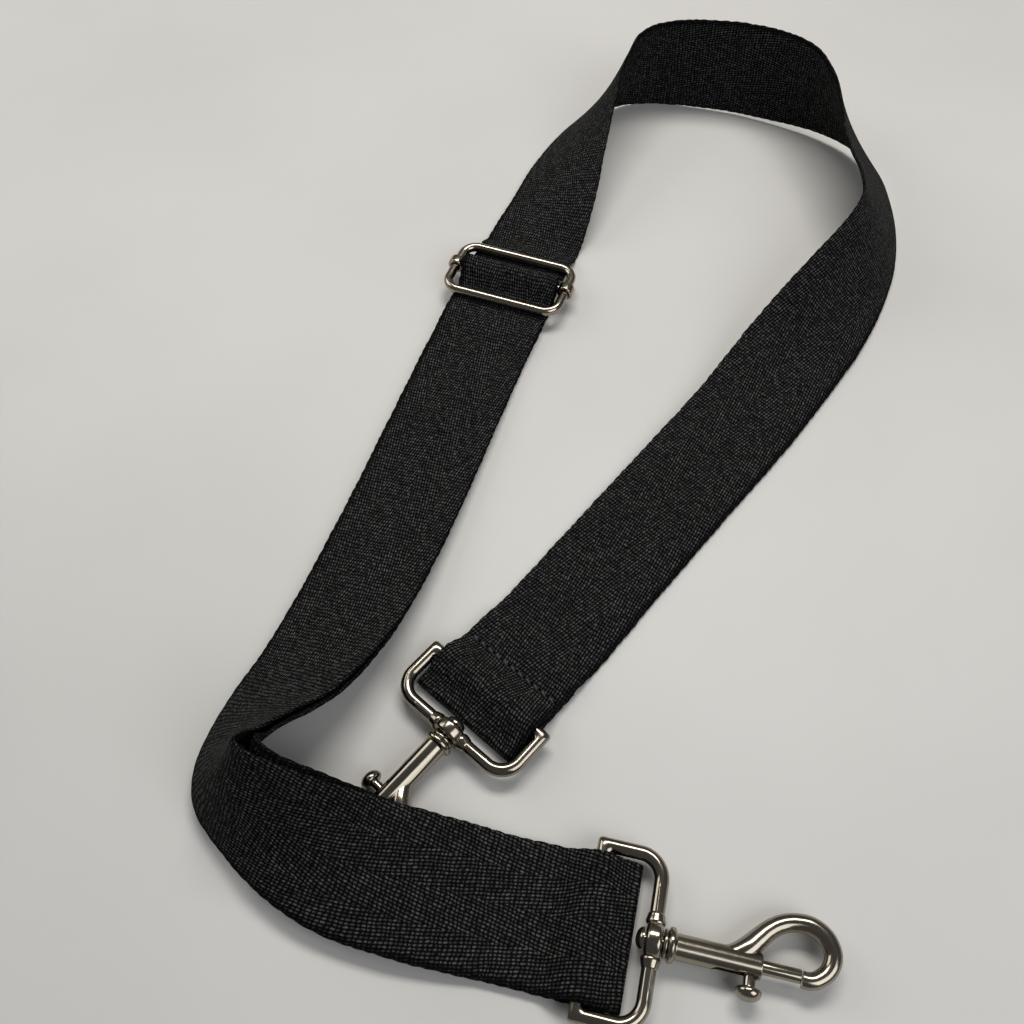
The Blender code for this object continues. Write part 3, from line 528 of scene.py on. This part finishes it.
between = m.op("FRACT", m.op("ADD", stitch_at, 0.5 * ((STITCHES + 1) % 2)))
off_pit = m.op("DIVIDE", m.op("MULTIPLY", m.op("SUBTRACT", between, 0.5), STITCH_PITCH), PIT)
pit_reach = m.op("ADD", m.op("MULTIPLY", off_row, off_row), m.op("MULTIPLY", off_pit, off_pit))
beyond = m.op("GREATER_THAN", m.op("ABSOLUTE", stitch_at), STITCHES / 2 + 0.6)
needle_dent_and_shade = m.op("MAXIMUM", m.op("SMOOTH_MIN", pit_reach, 1.0, 0.2), beyond)
# Painted shade in the needle holes, and a dent in the height for the bump
height_all = m.op("MULTIPLY", height_all, needle_dent_and_shade)
painted_weave_light = m.op("MULTIPLY", height_all, m.op("ADD", m.op("MULTIPLY", edge_dimming, 0.45), 0.55))
# Colour from the float height: the crests are painted light as painted highlights and the gaps between yarns
# painted near black as painted shade
colour = m.ramp(painted_weave_light, [
    (0.0, (0.0010, 0.0010, 0.0011)), (0.30, (0.0072, 0.0072, 0.0072)),
    (0.62, (0.036, 0.036, 0.035)), (1.0, (0.12, 0.12, 0.116))])
tree.links.new(colour, shader.inputs["Base Color"])
tree.links.new(m.op("ADD", m.op("MULTIPLY", height_all, -0.2), 0.78), shader.inputs["Roughness"])
shader.inputs["Specular IOR Level"].default_value = 0.025
bump = tree.nodes.new("ShaderNodeBump")
bump.inputs["Strength"].default_value = 0.8
bump.inputs["Distance"].default_value = 0.00025
tree.links.new(height_all, bump.inputs["Height"])
tree.links.new(bump.outputs[0], shader.inputs["Normal"])
mesh.materials.append(woven)

sheet_nodes = [n for n in frame["nodes"] if n.startswith("webbing_")]
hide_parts(*sheet_nodes)
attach(band, "band")


# Nickel on the castings: fine cast texture, faint wear and brushing
def nickel(name, base, rough, wear, grain):
    found, tree, shader = new_material(name)
    m = Maths(tree)
    place = tree.nodes.new("ShaderNodeTexCoord").outputs["Object"]
    broad = m.noise(place, 90.0, 4.0)
    fine = m.noise(place, 900.0, 3.0)
    scale = tree.nodes.new("ShaderNodeMapping")
    scale.inputs["Scale"].default_value = (4000.0, 500.0, 1500.0)
    tree.links.new(place, scale.inputs[0])
    scratch = m.noise(scale.outputs[0], 1.0, 2.0, 0.6)
    shader.inputs["Metallic"].default_value = 1.0
    dark = tuple(c * 0.86 for c in base)
    tree.links.new(m.ramp(broad, [(0.35, dark), (0.65, base)]), shader.inputs["Base Color"])
    mixed = m.op("ADD", m.op("MULTIPLY", broad, wear), m.op("MULTIPLY", scratch, wear * 0.7))
    tree.links.new(m.op("ADD", mixed, rough), shader.inputs["Roughness"])
    bump = tree.nodes.new("ShaderNodeBump")
    bump.inputs["Strength"].default_value = grain
    bump.inputs["Distance"].default_value = 0.00004
    tree.links.new(m.op("ADD", fine, m.op("MULTIPLY", scratch, 0.6)), bump.inputs["Height"])
    tree.links.new(bump.outputs[0], shader.inputs["Normal"])
    return found


castings = nickel("nickel_castings", (0.33, 0.292, 0.232), 0.07, 0.12, 0.09)
pins = nickel("nickel_pins", (0.36, 0.32, 0.255), 0.07, 0.10, 0.09)
wire = nickel("nickel_wire", (0.40, 0.345, 0.27), 0.12, 0.08, 0.03)
spring_steel = nickel("spring_steel", (0.50, 0.50, 0.50), 0.16, 0.2, 0.12)


# Hardware with fine round skins in place of the faceted solids. Each piece is made in
# millimetres about its own axis, and moved to its place when it is finished.
def placed(centre, height=0.0):
    """From millimetres about a piece of hardware to the frame's metres."""
    return (Matrix.Scale(MM, 4) @ Matrix.Translation(Vector((centre[0], centre[1], height)) + SHIFT)
            @ Matrix.Rotation(centre[2], 4, "Z"))


AXIS_X = Matrix.Rotation(math.pi / 2, 4, "Y")
AXIS_Y = Matrix.Rotation(-math.pi / 2, 4, "X")
AXIS_RIGHT = Matrix.Rotation(math.pi / 2, 4, "X")


def skin(name, rings, place, closed=False):
    """A closed skin through rings of points; a ring of one point closes an end."""
    shape = bmesh.new()
    rows = [[shape.verts.new(place @ Vector(point)) for point in ring] for ring in rings]
    pairs = list(zip(rows, rows[1:]))
    if closed:
        pairs.append((rows[-1], rows[0]))
    for a, b in pairs:
        n = max(len(a), len(b))
        for i in range(n):
            k = (i + 1) % n
            if len(a) == 1:
                shape.faces.new((a[0], b[i], b[k]))
            elif len(b) == 1:
                shape.faces.new((a[k], a[i], b[0]))
            else:
                shape.faces.new((a[i], b[i], b[k], a[k]))
    bmesh.ops.recalc_face_normals(shape, faces=shape.faces)
    data = bpy.data.meshes.new(name)
    shape.to_mesh(data)
    shape.free()
    return linked(name, data)


SIDES = 56
TURN_STEPS = 30
WIRE_SIDES = 10


def revolved(name, profile, place):
    """A solid of revolution about local Z from (radius, height) points."""
    rings = []
    for r, z in profile:
        if r == 0.0:
            rings.append([(0.0, 0.0, z)])
        else:
            angles = [2 * math.pi * k / SIDES for k in range(SIDES)]
            rings.append([(r * math.cos(a), r * math.sin(a), z) for a in angles])
    return skin(name, rings, place)


def bent(name, path, radii, place, closed=False):
    """A round bar along a path in its own plane, mitred at sharp corners."""
    rings = []
    n = len(path)
    for i, (x, y) in enumerate(path):
        came = Vector(path[i]) - Vector(path[i - 1]) if (i or closed) else None
        goes = Vector(path[(i + 1) % n]) - Vector(path[i]) if (i < n - 1 or closed) else None
        came = (came or goes).normalized()
        goes = (goes or came).normalized()
        middle = (came + goes).normalized()
        reach = radii[i] / middle.dot(came)
        ring = []
        for k in range(SIDES):
            angle = 2 * math.pi * k / SIDES
            off = math.cos(angle) * reach
            ring.append((x - middle.y * off, y + middle.x * off, math.sin(angle) * radii[i]))
        rings.append(ring)
    if not closed:
        rings = [[(*path[0], 0.0)], *rings, [(*path[-1], 0.0)]]
    return skin(name, rings, place, closed)


def coiled(name, start, end, radius, wire_radius, turns, place):
    """A compression spring about local Z, its end turns lying closed."""
    rings = []
    low = start + wire_radius
    high = end - wire_radius
    last = turns * TURN_STEPS
    closed_turn = 2 * wire_radius
    for i in range(last + 1):
        turn = i / TURN_STEPS
        middle = (high - low - 2 * closed_turn) / (turns - 2)
        rise = (closed_turn * min(turn, 1.0) + middle * min(max(turn - 1.0, 0.0), turns - 2.0)
                + closed_turn * max(turn - turns + 1.0, 0.0))
        angle = 2 * math.pi * turn
        outward = Vector((math.cos(angle), math.sin(angle), 0.0))
        centre = outward * radius + Vector((0.0, 0.0, low + rise))
        rings.append([centre + outward * wire_radius * math.cos(2 * math.pi * k / WIRE_SIDES)
                      + Vector((0.0, 0.0, wire_radius * math.sin(2 * math.pi * k / WIRE_SIDES)))
                      for k in range(WIRE_SIDES)])
        if i in (0, last):
            rings.insert(len(rings) if i else 0, [centre])
    return skin(name, rings, place)


def ease_mitres(item, rows):
    """Rounds the mitred sections at the given places along a bent bar."""
    shape = bmesh.new()
    shape.from_mesh(item.data)
    shape.verts.ensure_lookup_table()
    edges = []
    for row in rows:
        ring = set(range(row * SIDES, (row + 1) * SIDES))
        edges += [e for e in shape.edges if e.verts[0].index in ring and e.verts[1].index in ring]
    bmesh.ops.bevel(shape, geom=edges, offset=MITRE_EASE, segments=6, profile=0.5, affect="EDGES")
    bmesh.ops.recalc_face_normals(shape, faces=shape.faces)
    shape.to_mesh(item.data)
    shape.free()


def merge(item, others, operation):
    """The exact union or difference with the others, as the item's own mesh."""
    for other in others:
        step = item.modifiers.new("step", "BOOLEAN")
        step.operation = operation
        step.object = other
    bpy.context.view_layer.update()
    evaluated = item.evaluated_get(bpy.context.evaluated_depsgraph_get())
    data = bpy.data.meshes.new_from_object(evaluated)
    data.name = item.name
    item.modifiers.clear()
    item.data = data
    for other in others:
        bpy.data.objects.remove(other, do_unlink=True)


def finished(item, place, surface, body, *nodes, slot="casting"):
    """Moves a piece from its own millimetres to its place, where exact cuts would be less exact."""
    item.data.transform(place)
    item.data.shade_smooth()
    item.data.set_sharp_from_angle(angle=math.radians(32))
    item.data.materials.clear()
    item.data.materials.append(surface)
    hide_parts(*nodes)
    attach(item, body)
    return item


def rim(r, z, edge, start, end, count=6):
    """Quarter round of a turned piece's edge, as (radius, height) points."""
    return arc((r, z), edge, start, end, count)


RING_WIRE = 2.0
MITRE_EASE = 1.1
RING_ROOM = 1.0
RING_SIDE = (WIDTH + RING_ROOM + CROSSBAR) / 2
RING_CORNER = 6.6
BOSS = 4.9
BOSS_HALF = 2.2
BOSS_EDGE = 1.3
LOBE = 2.55
LOBE_END = 7.0
STUD = 1.6
STUD_HEAD = 3.1
STUD_HEAD_HEIGHT = 2.1
STUD_SEAT = 2.4
BEAD = 3.8
BEAD_LENGTH = 1.3
COLLAR = 4.6
COLLAR_LENGTH = 1.9
COLLAR_EDGE = 0.85
BARREL = 3.35
BARREL_EDGE = 0.4
MOUTH = 28.0
SPRING_SEAT = 7.3
BORE = 2.1
SPRING = 1.5
SPRING_WIRE = 0.25
SPRING_TURNS = 9
TIP_FACE = 38.3
BOLT = 1.8
BOLT_TAIL = 22.0
KNOB_AT = 25.3
KNOB = 3.4
KNOB_UNDER = 5.5
KNOB_HEIGHT = 3.4
BOLT_TRAVEL = 8.0
CUT_PAST = 2.0
BOW_RADIUS = 2.4
# Bow of a hook: ahead of the mouth, to its side, share of the bow's radius
BOW = [
    (-11.5, 0.6, 0.90), (-7.4, 1.6, 1.06), (-4.0, 3.7, 1.24), (-1.5, 6.5, 1.16),
    (0.9, 9.2, 1.07), (3.8, 11.4, 1.02), (7.4, 12.7, 1.01), (11.8, 12.8, 1.02),
    (15.5, 10.9, 1.02), (17.5, 7.7, 1.01), (17.6, 4.9, 0.98), (16.4, 2.2, 0.94),
    (14.2, 0.2, 0.92), (12.2, -0.6, 0.92), (10.3, -0.6, 0.92),
]


def ring_and_hook(letter, centre):
    place = placed(centre, Z_RING)
    axis = Matrix.Translation((RING_DEPTH, 0.0, 0.0))
    corner = RING_SIDE - RING_CORNER
    path = [(0.0, RING_SIDE), *arc((RING_DEPTH - RING_CORNER, corner), RING_CORNER, 90, 0, 22),
            *arc((RING_DEPTH - RING_CORNER, -corner), RING_CORNER, 0, -90, 22), (0.0, -RING_SIDE)]
    ring = bent("cast_ring_" + letter, path, [RING_WIRE] * len(path), Matrix(), closed=True)
    ease_mitres(ring, [0, len(path) - 1])
    boss = revolved("boss", [
        (0.0, BOSS_HALF), *rim(BOSS - BOSS_EDGE, BOSS_HALF - BOSS_EDGE, BOSS_EDGE, 90, 0),
        *rim(BOSS - BOSS_EDGE, BOSS_EDGE - BOSS_HALF, BOSS_EDGE, 0, -90),
        (0.0, -BOSS_HALF)], axis @ AXIS_X)
    swell = smooth([
        [RING_WIRE + 0.02, LOBE_END], [LOBE * 0.88, LOBE_END - 0.35],
        [LOBE * 0.93, LOBE_END - 0.9], [LOBE, LOBE_END - 1.6], [LOBE * 1.05, LOBE_END - 2.3],
        [LOBE * 0.98, LOBE_END - 2.9], [BOSS_HALF - 0.1, BOSS - 1.4]], 4)
    lobes = revolved("lobes", [
        (0.0, LOBE_END), *swell, *[(r, -z) for r, z in swell[::-1]],
        (0.0, -LOBE_END)], axis @ AXIS_Y)
    cut = BOSS_HALF + CUT_PAST
    hole = revolved("hole", [
        (0.0, cut), (STUD + GAP, cut), (STUD + GAP, -cut), (0.0, -cut)], axis @ AXIS_X)
    merge(ring, [boss, lobes], "UNION")
    merge(ring, [hole], "DIFFERENCE")
    finished(ring, place, castings, "ring_" + letter, "ring_" + letter)

    start = BOSS_HALF + GAP
    bead_end = start + BEAD_LENGTH
    collar_end = bead_end + COLLAR_LENGTH
    half = BEAD_LENGTH / 2
    body = revolved("cast_hook_" + letter, [
        (0.0, MOUTH), *rim(BARREL - BARREL_EDGE, MOUTH - BARREL_EDGE, BARREL_EDGE, 90, 0, 4),
        (BARREL, collar_end + BARREL_EDGE),
        *rim(BARREL + BARREL_EDGE, collar_end + BARREL_EDGE, BARREL_EDGE, 180, 270, 3),
        *rim(COLLAR - COLLAR_EDGE, collar_end - COLLAR_EDGE, COLLAR_EDGE, 90, 0),
        *rim(COLLAR - COLLAR_EDGE, bead_end + COLLAR_EDGE, COLLAR_EDGE, 0, -90),
        (BEAD - 0.5, bead_end),
        *rim(BEAD - half, start + half, half, 70, -90, 9), (0.0, start)], axis @ AXIS_X)
    bow = smooth([list(item) for item in BOW], 7)
    hook = bent("bow", [(MOUTH + x, y) for x, y, size in bow],
                [BOW_RADIUS * size for x, y, size in bow], axis)
    merge(body, [hook], "UNION")
    seat = revolved("seat", [
        (0.0, start + STUD_SEAT + GAP), (STUD + GAP, start + STUD_SEAT + GAP),
        (STUD + GAP, start - CUT_PAST), (0.0, start - CUT_PAST)], axis @ AXIS_X)
    bore = revolved("bore", [
        (0.0, MOUTH + 0.4), (BORE, MOUTH + 0.4), (BORE, SPRING_SEAT),
        (0.0, SPRING_SEAT)], axis @ AXIS_X)
    slot_half = STUD + GAP
    slot_middle = KNOB_AT - BOLT_TRAVEL / 2
    outline = [*arc((KNOB_AT, 0.0), slot_half, -90, 90, 14),
               *arc((KNOB_AT - BOLT_TRAVEL, 0.0), slot_half, 90, 270, 14)]
    slot = skin("slot", [
        [(slot_middle, -COLLAR - 1.0, 0.0)], [(x, -COLLAR - 1.0, z) for x, z in outline],
        [(x, -BOLT / 2, z) for x, z in outline], [(slot_middle, -BOLT / 2, 0.0)]], axis)
    merge(body, [seat, bore, slot], "DIFFERENCE")
    finished(body, place, castings, "hook_" + letter, "hook_body_" + letter)

    base = -BOSS_HALF - GAP
    dome = [(STUD_HEAD * math.cos(a), base - STUD_HEAD_HEIGHT * math.sin(a))
            for a in map(math.radians, range(0, 90, 9))]
    finished(revolved("stud_" + letter, [
        (0.0, start + STUD_SEAT), (STUD, start + STUD_SEAT), (STUD, base), *dome,
        (0.0, base - STUD_HEAD_HEIGHT)],
        axis @ AXIS_X), place, pins, "hook_" + letter, "swivel_stud_" + letter)
    spring = finished(
        coiled("coil_" + letter, SPRING_SEAT + GAP, BOLT_TAIL - GAP, SPRING, SPRING_WIRE,
               SPRING_TURNS, axis @ AXIS_X),
        place, spring_steel, "hook_" + letter, "spring_" + letter, slot="spring_wire")
    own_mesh(spring)
    tip = TIP_FACE - GAP
    finished(revolved("bolt_" + letter, [
        (0.0, tip), *rim(BOLT - 0.3, tip - 0.3, 0.3, 90, 0, 4), (BOLT, BOLT_TAIL), (0.0, BOLT_TAIL)],
        axis @ AXIS_X), place, pins, "bolt_" + letter, "plunger_" + letter)
    top = KNOB_UNDER + KNOB_HEIGHT
    crown = smooth([
        [0.02, top], [KNOB * 0.42, top - KNOB_HEIGHT * 0.05],
        [KNOB * 0.75, top - KNOB_HEIGHT * 0.2], [KNOB * 0.95, top - KNOB_HEIGHT * 0.45],
        [KNOB, top - KNOB_HEIGHT * 0.7], [KNOB * 0.93, top - KNOB_HEIGHT * 0.9],
        [KNOB * 0.75, KNOB_UNDER]], 4)
    finished(revolved("knob_" + letter, [
        (0.0, top), *crown, *rim(STUD + 0.3, KNOB_UNDER - 0.3, 0.3, 90, 180, 4),
        (STUD, BOLT + GAP), (0.0, BOLT + GAP)], axis @ Matrix.Translation((KNOB_AT, 0.0, 0.0)) @ AXIS_RIGHT),
        place, pins, "bolt_" + letter, "thumb_knob_" + letter)


ring_and_hook("a", RING_A)
ring_and_hook("b", RING_B)

FRAME_WIRE = 1.75
FRAME_ROOM = 3.8
FRAME_SIDE = (WIDTH + FRAME_ROOM + 2 * FRAME_WIRE) / 2
FRAME_CORNER = 5.6
FRAME_HALF = 12.1
FRAME_AHEAD = 1.0
BAR = 1.6
EYE_WALL = 1.0
EYE_OUTER = FRAME_WIRE + GAP + EYE_WALL
EYE_HALF = 2.0
EYE_EDGE = 0.6
buckle_place = placed(BUCKLE, Z_BAR)
fx = FRAME_HALF - FRAME_CORNER
fy = FRAME_SIDE - FRAME_CORNER
loop_path = [
    *arc((fx, fy), FRAME_CORNER, 90, 0, 20), *arc((fx, -fy), FRAME_CORNER, 0, -90, 20),
    *arc((-fx, -fy), FRAME_CORNER, -90, -180, 20), *arc((-fx, fy), FRAME_CORNER, 180, 90, 20)]
finished(bent("wire_frame", [(x + FRAME_AHEAD, y) for x, y in loop_path],
              [FRAME_WIRE] * len(loop_path), Matrix(), closed=True),
         buckle_place, wire, "buckle_frame", "slider_frame")
bar_end = FRAME_SIDE - EYE_OUTER + 0.5
bar = revolved("centre_bar", [
    (0.0, bar_end), (BAR, bar_end), (BAR, -bar_end), (0.0, -bar_end)], AXIS_Y)
cut = EYE_HALF + CUT_PAST
eyes = []
holes = []
for side in (1, -1):
    at = Matrix.Translation((0.0, side * FRAME_SIDE, 0.0)) @ AXIS_X
    eyes.append(revolved("eye", [
        (0.0, EYE_HALF), *rim(EYE_OUTER - EYE_EDGE, EYE_HALF - EYE_EDGE, EYE_EDGE, 90, 0, 5),
        *rim(EYE_OUTER - EYE_EDGE, EYE_EDGE - EYE_HALF, EYE_EDGE, 0, -90, 5),
        (0.0, -EYE_HALF)], at))
    holes.append(revolved("eye_hole", [
        (0.0, cut), (FRAME_WIRE + GAP, cut), (FRAME_WIRE + GAP, -cut), (0.0, -cut)], at))
merge(bar, eyes, "UNION")
merge(bar, holes, "DIFFERENCE")
finished(bar, buckle_place, wire, "band", "slider_bar")

# The row of stitches at ring B, one thread that rises and dives through the top layer
thread, tree, shader = new_material("polyester_thread")
m = Maths(tree)
place = tree.nodes.new("ShaderNodeTexCoord").outputs["Object"]
ply = tree.nodes.new("ShaderNodeTexWave")
ply.inputs["Scale"].default_value = 900.0
ply.inputs["Distortion"].default_value = 1.5
tree.links.new(place, ply.inputs["Vector"])
colour = m.ramp(ply.outputs["Fac"], [(0.2, (0.008, 0.008, 0.009)), (0.8, (0.045, 0.045, 0.045))])
tree.links.new(colour, shader.inputs["Base Color"])
tree.links.new(m.op("ADD", m.op("MULTIPLY", ply.outputs["Fac"], 0.2), 0.5), shader.inputs["Roughness"])
STITCH_LENGTH = 1.9
STITCH_SLANT = 0.34
THREAD = 0.5
top_face = Z2 + THICK / 2
knots = []
for i in range(STITCHES):
    at = (i - STITCHES / 2 + 0.5) * STITCH_PITCH
    lean = STITCH_SLANT * (1 + 0.3 * math.sin(5.0 * i))
    for share, height in (
            (-0.5, -1.0), (-0.44, -0.4), (-0.26, THREAD * 0.35), (0.0, THREAD * 0.6),
            (0.26, THREAD * 0.35), (0.44, -0.4), (0.5, -1.0)):
        knots.append((STITCH_AT + lean * share * 2, at + share * STITCH_LENGTH, top_face + height))
stitch_curve = bpy.data.curves.new("lock_stitches", "CURVE")
stitch_curve.dimensions = "3D"
stitch_curve.bevel_depth = THREAD * MM
stitch_curve.bevel_resolution = 3
stitch_curve.use_fill_caps = True
spline = stitch_curve.splines.new("POLY")
seam_place = placed(RING_B)
smoothed = smooth([list(point) for point in knots], 4)
spline.points.add(len(smoothed) - 1)
for point, spot in zip(spline.points, smoothed):
    point.co = (*(seam_place @ Vector(spot)), 1.0)
curve_item = linked("lock_stitches_curve", stitch_curve)
bpy.context.view_layer.update()
evaluated = curve_item.evaluated_get(bpy.context.evaluated_depsgraph_get())
seam_mesh = bpy.data.meshes.new_from_object(evaluated)
bpy.data.objects.remove(curve_item, do_unlink=True)
seam = linked("lock_stitches", seam_mesh)
seam_mesh.shade_smooth()
seam_mesh.materials.clear()
seam_mesh.materials.append(thread)
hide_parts("stitching_b")
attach(seam, "band")


# Floor, plain and pale; its height is in metres, just under the frame's zero
FLOOR_REACH = 6.0
FLOOR_HEIGHT = -0.0001
floor_mesh = bpy.data.meshes.new("floor")
floor_mesh.from_pydata([
    (-FLOOR_REACH, -FLOOR_REACH, FLOOR_HEIGHT), (FLOOR_REACH, -FLOOR_REACH, FLOOR_HEIGHT),
    (FLOOR_REACH, FLOOR_REACH, FLOOR_HEIGHT), (-FLOOR_REACH, FLOOR_REACH, FLOOR_HEIGHT)],
    [], [(0, 1, 2, 3)])
floor = linked("floor", floor_mesh)
pale, tree, shader = new_material("pale_floor")
m = Maths(tree)
place = tree.nodes.new("ShaderNodeTexCoord").outputs["Object"]
mottle = m.noise(place, 6.0, 4.0)
colour = m.ramp(mottle, [(0.3, (0.60, 0.59, 0.56)), (0.7, (0.66, 0.65, 0.62))])
tree.links.new(colour, shader.inputs["Base Color"])
shader.inputs["Roughness"].default_value = 0.55
floor.data.materials.append(pale)

world = bpy.data.worlds.new("studio")
bpy.context.scene.world = world
world.use_nodes = True
back = world.node_tree.nodes["Background"]
back.inputs["Color"].default_value = (0.9, 0.93, 1.0, 1.0)
back.inputs["Strength"].default_value = 0.12


def lamp(name, place, target, size, power, colour=(1.0, 1.0, 1.0), size_y=None):
    data = bpy.data.lights.new(name, "AREA")
    data.energy = power
    data.color = colour
    data.shape = "RECTANGLE"
    data.size = size
    data.size_y = size_y or size
    item = linked(name, data)
    item.location = place
    item.rotation_euler = (Vector(target) - Vector(place)).to_track_quat("-Z", "Y").to_euler()


lamp("key", (0.10, 0.50, 1.0), (0.0, 0.0, 0.0), 0.85, 8.6, (1.0, 0.97, 0.93), size_y=0.3)
lamp("fill", (0.55, -0.62, 0.7), (0.0, 0.0, 0.0), 0.7, 4.2, (0.95, 0.97, 1.0))
lamp("rim", (-0.8, 0.5, 0.6), (0.0, 0.05, 0.0), 0.6, 2.6)

# Camera near where the photograph was taken from; its height is in millimetres
PICTURE_PIXELS = 1024.0
SENSOR = 36.0
FOCAL_PIXELS = 1005.0
PITCH = math.radians(57.4)
ROLL = math.radians(3.0)
EYE_HEIGHT = 287.0
camera_data = bpy.data.cameras.new("camera")
camera_data.sensor_width = SENSOR
camera_data.lens = FOCAL_PIXELS / PICTURE_PIXELS * SENSOR
camera_data.clip_start = 0.01
camera = linked("camera", camera_data)
forward = Vector((0.0, math.cos(PITCH), -math.sin(PITCH)))
down = Vector((0.0, -math.sin(PITCH), -math.cos(PITCH)))
right = Vector((1.0, 0.0, 0.0))
image_right = right * math.cos(ROLL) + down * math.sin(ROLL)
image_down = down * math.cos(ROLL) - right * math.sin(ROLL)
turn = Matrix((image_right, -image_down, -forward)).transposed()
camera.matrix_world = Matrix.Translation((Vector((0.0, 0.0, EYE_HEIGHT)) + SHIFT) * MM) @ turn.to_4x4()
bpy.context.scene.camera = camera
bpy.context.scene.view_settings.view_transform = "Standard"
